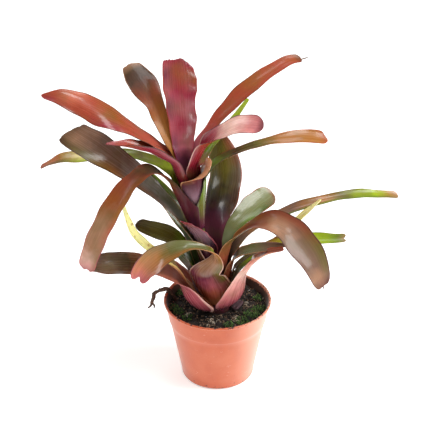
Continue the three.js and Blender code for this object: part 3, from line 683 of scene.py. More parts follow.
dryRoot = {  # millimetres
    "path": [(-44, 12, 78), (-50, 13, 92), (-57, 14.5, 99.2), (-62.5, 15.5, 97.2), (-67, 16, 95.2),
             (-71.5, 16, 92), (-72.3, 16, 85.5), (-74.5, 16, 80.5), (-75.5, 16, 76), (-79, 16, 72.5)],
    "radius": (1.8, 1.9, 1.8, 2.5, 1.9, 2.4, 1.7, 0.8),
    "fork": [(-73.5, 16, 83), (-73.4, 16, 79), (-71.6, 15.6, 75.5), (-72.2, 15, 72.5)],
    "forkRadius": (1.4, 1.2, 0.6),
    "knot": [(-66, 16, 96), (-65, 17, 98.6)], "knotRadius": (1.5, 0.8),
    "sides": 14, "step": 0.6, "wrinkled": 0.35, "colours": ("#1c120d", "#4a2e20", "#8a6248"),
}


def rootBark():  # a dry aerial root: matt, wrinkled lengthwise, dark brown with paler skin
    material, tree, shader = newMaterial("dry root bark")
    place = addNode(tree, "ShaderNodeTexCoord").outputs["Object"]
    cloud = addNode(tree, "ShaderNodeTexNoise", {
        "Vector": place, "Scale": 1 / (1.5 * mm), "Detail": 5.0}).outputs["Fac"]
    colour = addNode(tree, "ShaderNodeValToRGB", {"Fac": cloud}, stops=[
        (position, linear(tint)) for position, tint in zip((0.3, 0.55, 0.75), dryRoot["colours"])])
    bump = addNode(tree, "ShaderNodeBump", {"Height": cloud, "Strength": 0.6, "Distance": 0.3 * mm})
    setInputs(tree, shader, {"Base Color": colour, "Normal": bump, "Roughness": 0.8})
    return material


def makeRoot():
    parts = []
    for path, radius in (("path", "radius"), ("fork", "forkRadius"), ("knot", "knotRadius")):
        points, radii = np.array(dryRoot[path], float) * mm, np.array(dryRoot[radius], float) * mm
        parts.append(tube(points, radii, dryRoot["sides"], dryRoot["step"] * mm, dryRoot["wrinkled"]))
    piece = newObject("dryRoot", *joined(parts), rootBark())
    handIn(piece, "dry_root")


makeRoot()
print("stem and root made")

# The leaves, with lengths in millimetres and angles in degrees
# heading: turned from +X round its rosette's axis; attach: height of its foot on the stem
# flare: how much its sheath widens per mm of height; lift: height where the blade leaves the sheath's cone
# belly: how far the sheath bulges; sheath: half its width at the foot and at its widest
# blade: points of the midrib beyond the sheath, as (out, side, up)
# half, cup, roll: half the blade's width, how far each margin turns up, and twist, evenly from foot to tip
# sway: the share by which the width wavers; blunt: the share of the width that is left at the tip
# back: how far the outline falls short of the tip, evenly from margin to margin; ragged: how torn it is
# hole: where it is along and across the leaf, and its radius; dryPoint: its length, and its rise per mm
# upper, under, edge: pigments of both faces and of the margin, evenly from foot to tip
# flank: pigments of the half of the leaf on flankSide, 1 or -1; spots: strength of brown spots
# matt: how much duller it is than the other leaves
leafShape = {
    "thickness": (0.74, 0.95, 0.32),  # sheath, middle, margin
    "widestWrap": 84,  # how far each half of a sheath goes round the stem
    "cadCells": 8, "cadThickness": 0.74, "gap": 0.3,  # the CAD leaf's facets there, and its gap to the stem
    "bladeBefore": 0.85, "bladeAfter": 28,  # where the sheath turns to the blade: share of it, mm after it
    "roundTip": 1.3, "point": 0.06,  # length of the tip in half widths, and the width left at its end
    "columns": 48, "rowEvery": 2.4, "tipRows": 12, "sway": 0.035, "ripple": 0.9,
    "pointRadius": (0.4, 0.7, 0.55, 0.4),  # of a dried point
}

lowerLeaves = [
    {
        "name": "left_low", "heading": 195, "attach": 2, "flare": 0.6, "lift": 50, "belly": 9,
        "blade": [(60, 0, 65), (79, 0, 75), (100, 0, 82), (121, 0, 87), (138, 0, 91)],
        "sheath": (17, 42), "half": (31, 14, 14, 13, 8), "cup": (0, 35, 30, 20, 15),
        "roll": (0, 0, -20, -35, -35),
        "upper": "salmon salmon salmon salmon rust umber taupe umber",
        "under": "wine rose rose rust olive olive",
        # the blush on its sheath's margin is partly a painted highlight along the rim
        "edge": "blush blush pink rust umber rust",
    },
    {
        "name": "right_sheath", "heading": 332, "attach": 4, "flare": 0.56, "lift": 50, "belly": 8,
        "blade": [(55, 0, 69), (70, 0, 82), (90, 0, 91)],
        "sheath": (17, 34), "half": (22, 15, 9, 5), "cup": (0, 50, 50, 40),
        "upper": "straw straw peach salmon brick",
        "under": "plum rose pink blush salmon ochre salmon",
        "edge": "mauve pink blush salmon brick",
    },
    {
        "name": "left_withered", "heading": 200, "attach": 6, "flare": 0.5, "lift": 46,
        "blade": [(40, 0, 60), (55, 0, 80), (72, 0, 100), (84, 0, 121), (88, 0, 146), (88, 0, 168)],
        "sheath": (15, 17), "half": (11, 9, 8, 7, 1.5), "cup": (0, 60, 50), "roll": (0, 0, -30, -30),
        "upper": "peach peach peach straw cream cream cream",
        "under": "rose peach peach straw cream cream cream",
        "edge": "peach peach straw chartreuse straw cream", "spots": 0.6,
    },
    {
        "name": "back_small", "heading": 130, "attach": 7.6, "flare": 0.46, "lift": 44,
        "blade": [(48, 0, 48), (62, 0, 60), (76, 0, 66)],
        "sheath": (10, 20), "half": (15, 12, 7), "cup": (0, 40, 20),
        "upper": "mauve mauve moss leafGreen",
        "under": "plum mauve moss leafGreen",
        "edge": "mauve tan olive",
    },
    {
        "name": "right_withered", "heading": 6, "attach": 8.8, "flare": 0.44, "lift": 46,
        "blade": [(47, 0, 57), (60, 0, 67), (72, 0, 73), (82, 0, 80), (101, 0, 96), (115, 0, 108),
                  (125, 0, 116)],
        "sheath": (11, 14), "half": (8, 6, 6, 7, 2.5), "cup": (0, 60, 40, 30),
        "upper": "olive olive lime ochre straw cream",
        "under": "olive umber olive olive straw cream",
        "edge": "umber umber umber olive straw straw", "spots": 0.3,
    },
    {
        "name": "front_arched", "heading": 255, "attach": 10.2, "flare": 0.335, "lift": 58,
        "blade": [(28, 13, 75), (38, 14, 95), (50, -7, 108), (62, -33, 104), (72, -50, 93), (79, -58, 81)],
        "sheath": (17, 31), "half": (22, 11.5, 7, 7, 11, 14, 10), "cup": (0, 30, 50, 30, 20),
        "roll": (0, -15, -45, -45, -40, -35), "blunt": 0.6, "back": (0, 1, 5, 1, 0),
        "upper": "moss olive leafGreen lime olive greyGreen olive ochre salmon",
        "under": "peach salmon rose plum tan tan tan tan tan olive olive pink pink",
        "edge": "rose blush blush peach olive umber rose",
        "flank": "rose rose olive olive ochre ochre ochre salmon rose", "flankSide": 1,
    },
    {
        "name": "right_notched", "heading": 354, "attach": 12.9, "flare": 0.31, "lift": 50,
        "blade": [(37, 0, 61), (57, 0, 73), (81, 0, 80), (101, 0, 83), (118, 0, 82), (148, 0, 82)],
        "sheath": (11, 12), "half": (7, 6, 7.5, 8.5, 6.5), "cup": (0, 40, 30), "roll": (0, 0, 20, 20),
        "blunt": 0.6, "back": (0, 0, 2.5, 1, 0),
        "upper": "mauve taupe olive ochre lime lime leafGreen",
        "under": "plum taupe olive moss leafGreen",
        "edge": "plum umber umber olive leafGreen tan",
    },
    {
        "name": "back_low", "heading": 84, "attach": 15.3, "flare": 0.305, "lift": 54,
        "blade": [(44, 0, 74), (66, 0, 88), (95, 0, 96), (124, 0, 96), (150, 0, 88)],
        "sheath": (13, 20), "half": (15, 12, 12, 12, 8), "cup": (0, 40, 30),
        "upper": "plum olive leafGreen olive rust taupe",
        "under": "plum rose olive moss olive taupe",
        "edge": "rose tan rust rust umber",
    },
    {
        "name": "right_narrow", "heading": 341, "attach": 17.5, "flare": 0.295, "lift": 55,
        "blade": [(28, 0, 66), (46, 0, 77), (66, 0, 83), (92, 0, 89)],
        "sheath": (14, 20), "half": (14, 9, 7, 2), "cup": (0, 50, 40), "roll": (0, 0, 20, 30),
        "upper": "rose umber taupe greyGreen taupe umber",
        "under": "rose salmon taupe rust wine",
        "edge": "pink peach peach peach wine",
    },
    {
        "name": "left_dark", "heading": 180, "attach": 20, "flare": 0.295, "lift": 62,
        "blade": [(31, 0, 83), (40, 0, 94), (56, 0, 104), (77, 0, 114)],
        "sheath": (16, 21), "half": (14, 11, 11, 7), "cup": (0, 30, 30), "roll": (0, 0, -30, -40),
        "upper": "mauve leafGreen leafGreen leafGreen olive olive umber",
        "under": "plum mauve moss darkOlive umber",
        "edge": "mauve lime umber umber umber",
    },
    {
        "name": "right_long", "heading": 15, "attach": 23, "flare": 0.285, "lift": 64,
        "blade": [(39, 0, 80), (53, 0, 88), (76, 0, 95), (105, 0, 101), (140, 0, 103), (181, 0, 99),
                  (219, 0, 88)],
        "sheath": (15, 21), "half": (11, 8, 8, 7, 7, 6), "cup": (0, 40, 40, 30),
        "roll": (0, 0, 20, 20), "sway": 0.1,
        "upper": "plum umber taupe ochre taupe ochre olive lime ochre",
        "under": "plum taupe moss leafGreen olive lime",
        "edge": "rose pink tan umber olive olive tan",
        "flank": "plum taupe olive moss leafGreen leafGreen leafGreen leafGreen olive", "flankSide": -1,
    },
    {
        "name": "left_green", "heading": 140, "attach": 26, "flare": 0.265, "lift": 66,
        "blade": [(28, 0, 88), (41, 0, 106), (57, 0, 125), (70, 0, 137), (84, 0, 147)],
        "sheath": (13, 19), "half": (13, 11, 11, 9, 5), "cup": (0, 40, 30), "roll": (0, 0, -30, -30),
        "upper": "mauve moss moss moss leafGreen",
        "under": "plum olive moss moss leafGreen",
        "edge": "mauve tan tan tan straw",
    },
    {
        "name": "right_drooping", "heading": 325, "attach": 29, "flare": 0.25, "lift": 68,
        "blade": [(28, 0, 88), (44, 0, 106), (65, 0, 122), (87, 0, 130), (106, 0, 125), (120, 0, 112),
                  (134, 0, 92), (143, 0, 67)],
        "sheath": (13, 22), "half": (14, 11, 10, 14, 17.5, 17, 12), "cup": (0, 30, 40, 30, 20),
        "roll": (0, 0, 10, 20, 20, 10), "blunt": 0.45, "dryPoint": (3, -0.1), "matt": 0.1,
        "upper": "wine salmon ochre rust rust tan taupe taupe tan",
        "under": "wine salmon olive umber rust taupe tan",
        "edge": "rose peach peach rust umber wine wine",
        "flank": "wine salmon ochre ochre rust rust olive taupe", "flankSide": 1,
    },
    {
        "name": "back_right", "heading": 50, "attach": 32.3, "flare": 0.225, "lift": 68,
        "blade": [(28, 0, 75), (46, 0, 83), (78, 0, 90), (112, 0, 91)],
        "sheath": (11, 18), "half": (13, 11, 14, 12), "cup": (0, 30, 20), "roll": (0, 0, 30, 45),
        "upper": "plum moss greyGreen greyGreen greyGreen greyGreen",
        "under": "plum moss olive greyGreen",
        "edge": "plum taupe tan umber rust rust",
        "flank": "plum moss moss leafGreen moss taupe", "flankSide": -1,
    },
    {
        "name": "left_cut", "heading": 178, "attach": 35, "flare": 0.16, "lift": 84,
        "blade": [(22, 0, 104), (36, 0, 130), (53, 0, 153), (74, 0, 176), (94, 0, 196), (114, 0, 215),
                  (134, 0, 233)],
        "sheath": (12, 20), "half": (14, 14, 14, 16, 18, 15), "cup": (0, 10, 25, 15),
        "roll": (0, 0, -26, -62), "blunt": 0.85, "back": (12, 8, 4, 1, 0), "ragged": 0.9,
        # its silver stop mid-blade is partly a pale grey tone and partly a painted highlight
        "upper": "purple darkOlive olive olive silver taupe taupe tan",
        "under": "wine plum umber olive olive",
        "edge": "rose blush tan umber umber umber umber",
        "flank": "purple umber olive ochre ochre ochre olive umber", "flankSide": 1,
    },
    {
        "name": "back_upright", "heading": 75, "attach": 38, "flare": 0.15, "lift": 80,
        "blade": [(21, -4, 104), (28, -9, 123), (34, -10, 131), (45, -11, 141), (61, -6, 159), (73, 3, 180)],
        "sheath": (12, 20), "half": (13, 14, 20, 20, 17, 10), "cup": (0, 10, -35, -40, -25),
        "upper": "wine plum plum plum purple darkOlive olive olive darkOlive",
        "under": "wine plum umber olive moss",
        "edge": "plum plum umber rust rust rust",
        "flank": "wine plum plum plum umber umber umber rust umber", "flankSide": -1,
    },
    {
        "name": "centre", "heading": 232, "attach": 41, "flare": 0.14, "lift": 82,
        "blade": [(17, 0, 98), (25, 0, 114), (39, 0, 130)],
        "sheath": (12, 21), "half": (19, 15, 5), "cup": (0, 25, 20),
        # its lilac stop stands for a painted highlight on the upper face
        "upper": "purple purple purple lilac crimson",
        "under": "purple wine purple mauve crimson",
        "edge": "wine rose rose rose crimson",
    },
]

upperLeaves = [
    {
        "name": "left_drooping", "heading": 210, "attach": 2.6, "flare": 0.21, "lift": 68,
        "blade": [(33, 0, 86), (46, 0, 92), (62, 0, 87), (77, 0, 77), (91, 0, 65), (104, 0, 53), (116, 0, 39),
                  (127, 0, 24), (133, 0, 11)],
        "sheath": (14, 24), "half": (12, 12, 12, 13, 14, 13, 12, 10), "cup": (0, 30, 30, 20),
        "roll": (0, 0, -20, -30), "blunt": 0.6, "back": (2, 0, 1.5, 0, 1), "sway": 0.07, "matt": 0.18,
        # the blush at its tip stands for a painted highlight
        "upper": "wine umber wine umber umber rust sienna tan tan blush",
        "under": "plum wine rust brick rust tan",
        "edge": "plum wine umber rust rust rose rose",
        "flank": "wine wine wine umber rust sienna ochre salmon tan tan", "flankSide": 1,
    },
    {
        "name": "right_ochre", "heading": 8, "attach": 6.5, "flare": 0.2, "lift": 66,
        "blade": [(32, 0, 78), (53, 0, 85), (76, 0, 89), (102, 0, 90), (129, 0, 87), (152, 0, 79)],
        "sheath": (13, 22), "half": (12, 7, 6, 6.5, 9, 8.5), "cup": (0, 40, 30, 20), "roll": (0, 0, 20, 30),
        "blunt": 0.6, "back": (2, 0, 0, 2, 4),
        "upper": "plum darkOlive darkOlive leafGreen umber olive ochre ochre ochre",
        "under": "plum leafGreen olive ochre brick",
        "edge": "plum darkOlive umber brick brick brick",
    },
    {
        "name": "left_green", "heading": 152, "attach": 10.6, "flare": 0.195, "lift": 71,
        "blade": [(31, 0, 79), (44, 0, 83), (62, 0, 87), (96, 0, 85), (130, 0, 79), (165, 0, 73),
                  (197, -1, 58)],
        "sheath": (13, 20), "half": (9, 8, 8, 8, 7, 3), "cup": (0, 40, 30, 20), "roll": (0, 0, -30, -30),
        "upper": "plum olive lime olive lime straw ochre salmon",
        "under": "plum leafGreen leafGreen lime tan",
        "edge": "plum straw lime umber tan rust",
        "flank": "plum leafGreen lime leafGreen lime lime olive rust", "flankSide": 1,
    },
    {
        "name": "front_collar", "heading": 320, "attach": 14.6, "flare": 0.185, "lift": 72,
        "blade": [(24, 0, 80), (32, 0, 87), (38, 0, 95)],
        "sheath": (12, 25), "half": (23, 15, 10), "cup": (0, 40, 20), "roll": (0, 0, 25, 50), "matt": 0.2,
        "upper": "wine wine rust peach peach",
        "under": "wine taupe mauve wine salmon peach",
        "edge": "wine peach peach peach",
    },
    {
        "name": "back", "heading": 94, "attach": 18.7, "flare": 0.18, "lift": 74,
        "blade": [(28, 0, 91), (45, 0, 106), (70, 0, 117), (98, 0, 120), (124, 0, 115), (142, 0, 107)],
        "sheath": (9, 13), "half": (7.5, 9, 11, 11, 9, 4), "cup": (0, 35, 30),
        "upper": "plum rust brick rust ochre rust",
        "under": "plum crimson brick rust rust",
        "edge": "plum crimson umber umber rust",
    },
    {
        "name": "right_green", "heading": 45, "attach": 24.9, "flare": 0.17, "lift": 76,
        "blade": [(24, 0, 78), (45, 0, 89), (62, 0, 96), (82, 0, 105), (102, 0, 115)],
        "sheath": (8, 11), "half": (7, 5, 4, 3.5, 2), "cup": (0, 40, 30), "roll": (0, 0, 30),
        "upper": "plum crimson crimson leafGreen lime lime lime",
        "under": "plum crimson crimson leafGreen lime lime lime",
        "edge": "plum crimson crimson lime lime lime",
    },
    {
        "name": "left_folded", "heading": 194, "attach": 28.6, "flare": 0.16, "lift": 80,
        "blade": [(16, 0, 90), (26, 0, 99), (35, 0, 108), (45, 0, 114), (55, 0, 120), (66, 0, 125),
                  (77, 0, 129)],
        "sheath": (8, 18), "half": (17, 15, 13, 9, 2), "cup": (0, 85, 80, 50), "roll": (0, 6, 6, -5),
        "upper": "wine crimson brick brick rust brick rose",
        "under": "wine crimson crimson crimson rose rose",
        "edge": "crimson crimson umber umber crimson",
        "flank": "wine crimson crimson rose crimson brick crimson", "flankSide": 1,
    },
    {
        "name": "right_pink", "heading": 335, "attach": 33.9, "flare": 0.155, "lift": 82,
        "blade": [(19, 0, 93), (30, 0, 108), (53, -1, 125), (77, -1, 135), (98, -1, 135)],
        "sheath": (8, 15), "half": (14, 14, 13, 13, 10), "cup": (0, 40, 80, 90, 45, 30, 10),
        "roll": (0, 0, 20, 30),
        "upper": "crimson crimson crimson crimson crimson crimson rose blush blush pink rose",
        "under": "wine wine crimson brick salmon rose",
        "edge": "wine crimson blush wine wine wine",
    },
    {
        "name": "left_red", "heading": 170, "attach": 38.2, "flare": 0.15, "lift": 87,
        "blade": [(20, 0, 99), (32, 0, 113), (51, 0, 130), (74, 0, 147), (98, 1, 163), (118, 1, 174),
                  (138, 1, 179)],
        "sheath": (11, 20), "half": (11, 10, 12.5, 15, 15, 12, 7), "cup": (0, 20, -5, -30, -35),
        "roll": (0, 0, 0, -35, -45), "blunt": 0.5, "back": (15, 11, 6, 2, 0),
        "upper": "wine crimson brick brick brick sienna brick salmon brick",
        "under": "wine crimson rust brick brick",
        "edge": "crimson crimson umber umber rust umber brick",
        "flank": "wine crimson crimson brick brick crimson brick brick crimson", "flankSide": 1,
    },
    {
        "name": "right_long", "heading": 30, "attach": 42.9, "flare": 0.15, "lift": 89,
        "blade": [(17, 0, 97), (28, 0, 106), (50, 1, 120), (70, 1, 131), (91, 1, 141), (117, 1, 148),
                  (140, 1, 152), (156, 1, 149)],
        "sheath": (6, 9), "half": (8, 9, 10, 10, 9, 8, 6), "cup": (0, 30, 40, 30),
        "roll": (0, 0, 30, 30), "sway": 0.1, "matt": 0.15,
        "upper": "plum mauve rose brick brick sienna brick sienna",
        "under": "plum mauve rose brick rust",
        "edge": "plum rose pink umber umber brick umber",
        "flank": "plum mauve rose brick brick brick brick brick", "flankSide": -1,
        "hole": (0.93, -0.35, 1.1), "dryPoint": (9, 0.16),
    },
    {
        "name": "back_ochre", "heading": 125, "attach": 48.2, "flare": 0.145, "lift": 90,
        "blade": [(16, 3, 104), (27, 3, 123), (38, 2, 143), (48, 3, 160), (57, 5, 173), (65, 8, 185)],
        "sheath": (6, 12), "half": (10, 9, 9, 9.5, 11, 16, 16, 11), "cup": (0, 25, 5, -15),
        "blunt": 0.8, "matt": 0.15, "back": (4, 2, 0, 0, 0), "ragged": 0.5,
        "upper": "wine umber ochre ochre ochre sienna rust umber umber",
        "under": "plum rust rust ochre rust taupe",
        "edge": "wine umber umber umber umber tan",
    },
    {
        "name": "top_plum", "heading": 95, "attach": 53.6, "flare": 0.14, "lift": 97,
        "blade": [(13, -2, 100), (19, -4, 119), (26, -6, 139), (33, -9, 159), (41, -11, 186)],
        "sheath": (6, 13), "half": (12, 13.5, 15.5, 15.5, 18, 17.5, 15.5), "cup": (0, 20, 20, 15),
        "blunt": 0.85, "back": (9, 3, 0, 1, 0, 0), "ragged": 1.2,
        "upper": "wine plum plum rose crimson rose crimson brick crimson",
        "under": "wine plum crimson plum crimson",
        "edge": "wine crimson crimson brick crimson brick crimson",
        "flank": "wine plum plum plum rose plum rose plum rose", "flankSide": 1,
    },
]


# The shares of its height at which points lie on the sheath's cone, and what the random lines of a leaf
# are made of: first seed, number of sines, and how fast they run
coneShares = (0, 0.35, 0.7, 0.9, 1)
wavers = {"tears": (100, 9, 5), "ripple": (200, 3, 14), "sway": (300, 5, 9)}
otherMargin = 50  # what the seed of a leaf's second margin adds


def waver(kind, leaf, x, strength, addedSeed=0):  # a smooth random line: a few sines with seeded phases
    seed, count, pace = wavers[kind]
    random = np.random.default_rng(seed + leaf["number"] + addedSeed)
    phases = random.uniform(0, fullTurn, count)
    rates = random.uniform(0.7, 1.3, count) * np.arange(1, count + 1)
    at = x * pace
    return strength * sum(np.sin(rate * at + phase) for rate, phase in zip(rates, phases)) / count


def atMargins(kind, leaf, t, u, strength):  # each margin has a line of its own
    return np.where(u > 0, waver(kind, leaf, t, strength), waver(kind, leaf, t, strength, otherMargin))


def leafMidrib(leaf, rosette):  # its line, the length run at each point, and the share that is sheath
    share = leaf["attach"] / rosette["length"]
    stemHere = rosette["radius"][0] * (1 - share) + rosette["radius"][1] * share
    facetSink = 1 / math.cos(math.radians(leafShape["widestWrap"]) / leafShape["cadCells"])
    foot = (stemHere + leafShape["gap"] + leafShape["cadThickness"] / 2) * facetSink
    rise = leaf["lift"] - leaf["attach"]
    onCone = leaf["attach"] + np.array(coneShares) * rise
    sheathLine = [(foot + leaf["flare"] * (h - leaf["attach"]), 0, h) for h in onCone]
    line, run = curveLine(sheathLine + leaf["blade"])
    return line, run, math.hypot(rise, sheathLine[-1][0] - foot) / run[-1]


# The middle surface of a leaf, for t from foot to tip and u from margin to margin; millimetres
def leafSurface(leaf, midrib, t, u):
    line, run, sheathEnd = midrib
    length = run[-1]
    torn = np.maximum(waver("tears", leaf, u, leaf.get("ragged", 0)), 0) * 1.6
    short = (spread(leaf.get("back", (0,)), (u + 1) / 2) + torn) / length * smooth(0.7, 1, t)
    reached = np.clip(t - short, 0, 1) * length
    centre = alongLine(line, run, reached)
    # an outer sheath bellies out above the soil before it rises
    centre[..., 0] += leaf.get("belly", 0) * np.sin(math.pi * np.clip(t / sheathEnd, 0, 1) ** 0.6) ** 2
    nearby = 0.4  # the midrib's direction is read between points this far on either side
    along = unit(alongLine(line, run, np.minimum(reached + nearby, length))
                 - alongLine(line, run, np.maximum(reached - nearby, 0)))
    sway = atMargins("sway", leaf, t, u, leaf.get("sway", leafShape["sway"]) * 2)
    half = leafHalfWidth(leaf, t, length, sheathEnd)
    half = half * (1 + sway * smooth(sheathEnd, sheathEnd + 0.15, t))
    wrap = np.minimum(half / centre[..., 0], math.radians(leafShape["widestWrap"])) * u
    sheath = np.stack([centre[..., 0] * np.cos(wrap), centre[..., 0] * np.sin(wrap), centre[..., 2]], -1)
    sideways = np.array([0.0, 1.0, 0.0])
    level = unit(sideways - along * along[..., 1:2])
    above = np.cross(along, level)
    roll = np.radians(spread(leaf.get("roll", (0,)), t))[..., None]
    across = level * np.cos(roll) + above * np.sin(roll)
    normal = above * np.cos(roll) - level * np.sin(roll)
    cup = np.radians(spread(leaf["cup"], t))
    cup = np.where(np.abs(cup) < 0.01, 0.01, cup)  # a flat blade is left a trace of a bend
    ripple = atMargins("ripple", leaf, t, u, leafShape["ripple"]) * np.abs(u) ** 3
    out = half * np.sin(cup * u) / cup
    up = half * (1 - np.cos(cup * u)) / cup + ripple
    blade = centre + across * out[..., None] + normal * up[..., None]
    bladeFrom, bladeTo = sheathEnd * leafShape["bladeBefore"], sheathEnd + leafShape["bladeAfter"] / length
    turned = smooth(bladeFrom, bladeTo, t)[..., None]
    return sheath * (1 - turned) + blade * turned


def tipLength(leaf):
    return leaf["half"][-1] * leafShape["roundTip"] * (1.1 - leaf.get("blunt", 0.3))


# Half the width: the sheath's, then the blade's, drawn in over the last stretch to a round or cut tip
def leafHalfWidth(leaf, t, length, sheathEnd):
    foot, widest = leaf["sheath"]
    first = leaf["half"][0]
    half = np.where(t < sheathEnd, spread([foot, widest, (widest + first) / 2, first], t / sheathEnd),
                    spread(leaf["half"], (t - sheathEnd) / (1 - sheathEnd)))
    tip = np.clip((1 - t) * length / tipLength(leaf), 0, 1)
    blunt = leaf.get("blunt", leafShape["point"])
    return half * (blunt + (1 - blunt) * np.sqrt(1 - (1 - tip) ** 2))


def leafGrid(leaf, length):  # rows that crowd towards the tip, and columns that crowd towards the margins
    tip = tipLength(leaf) / length
    even = max(12, round(length * (1 - tip) / leafShape["rowEvery"]))
    quarter = np.linspace(0, math.pi / 2, leafShape["tipRows"] + 1)[1:]
    rows = np.concatenate([np.linspace(0, 1 - tip, even + 1), 1 - tip * (1 - np.sin(quarter))])
    evenly = np.linspace(-1, 1, leafShape["columns"] + 1)
    return np.meshgrid(rows, evenly * (1.4 - 0.4 * evenly**2), indexing="ij")


def sheetFaces(kept):  # both faces of each cell that is kept, and the rim wherever it has no neighbour
    rows, columns = kept.shape
    width = columns + 1
    below = (rows + 1) * width
    faces = []
    for i in range(rows):
        for j in range(columns):
            if not kept[i, j]:
                continue
            a = i * width + j
            b, c, d = a + 1, a + width, a + width + 1
            faces.append((a, c, d, b))
            faces.append((a + below, b + below, d + below, c + below))
            sides = (((i - 1, j), (a, b)), ((i + 1, j), (d, c)), ((i, j - 1), (c, a)), ((i, j + 1), (b, d)))
            for (ni, nj), (p, q) in sides:
                if not (0 <= ni < rows and 0 <= nj < columns and kept[ni, nj]):
                    faces.append((p, q, q + below, p + below))
    return faces


def dryPoint(spine, length, rise):  # a thread or a short spike, sunk into the tip that it goes on from
    ahead = unit(spine[-1] - spine[0]) * length * mm
    bent = np.array([0, 0, rise]) * length * mm
    path = [spine[-4], spine[-1], spine[-1] + ahead * 0.5 + bent * 0.3, spine[-1] + ahead + bent]
    return tube(path, np.array(leafShape["pointRadius"]) * mm, 8, 0.8 * mm)


# The leaf as one closed sheet, in metres, with what its material and its veins read
def leafMesh(leaf, rosette):
    midrib = leafMidrib(leaf, rosette)
    length = midrib[1][-1]
    t, u = leafGrid(leaf, length)
    middle = leafSurface(leaf, midrib, t, u)
    normal = unit(np.cross(np.gradient(middle, axis=0), np.gradient(middle, axis=1)))
    sheathThick, middleThick, marginThick = leafShape["thickness"]
    thick = sheathThick + (middleThick - sheathThick) * smooth(0.15, 0.4, t)
    thick = thick + (marginThick - thick) * np.abs(u) ** 3
    outward = normal * thick[..., None] / 2
    points = np.concatenate([sheet.reshape(-1, 3) for sheet in (middle + outward, middle - outward)])
    kept = np.ones((len(t) - 1, leafShape["columns"]), bool)
    if "hole" in leaf:
        holeT, holeU, holeSize = leaf["hole"]
        away = np.hypot((t - holeT) * length, (u - holeU) * spread(leaf["half"], t))
        kept = (away[:-1, :-1] + away[1:, 1:]) / 2 > holeSize
    sheet = list(fromAxis(rosette, leaf["heading"], points) * mm), sheetFaces(kept)
    attributes = {
        "along": np.tile(t.ravel(), 2), "across": np.tile(u.ravel(), 2),
        "reach": np.tile(t.ravel(), 2) * length * mm, "face": np.repeat([1.0, 0.0], t.size),
    }
    if "dryPoint" in leaf:
        spine = fromAxis(rosette, leaf["heading"], middle[-8:, leafShape["columns"] // 2]) * mm
        point = dryPoint(spine, *leaf["dryPoint"])
        sheet = joined([sheet, point])
        for key, value in (("along", 1.0), ("across", 1.0), ("reach", length * mm), ("face", 1.0)):
            attributes[key] = np.append(attributes[key], np.full(len(point[0]), value))
    return *sheet, attributes


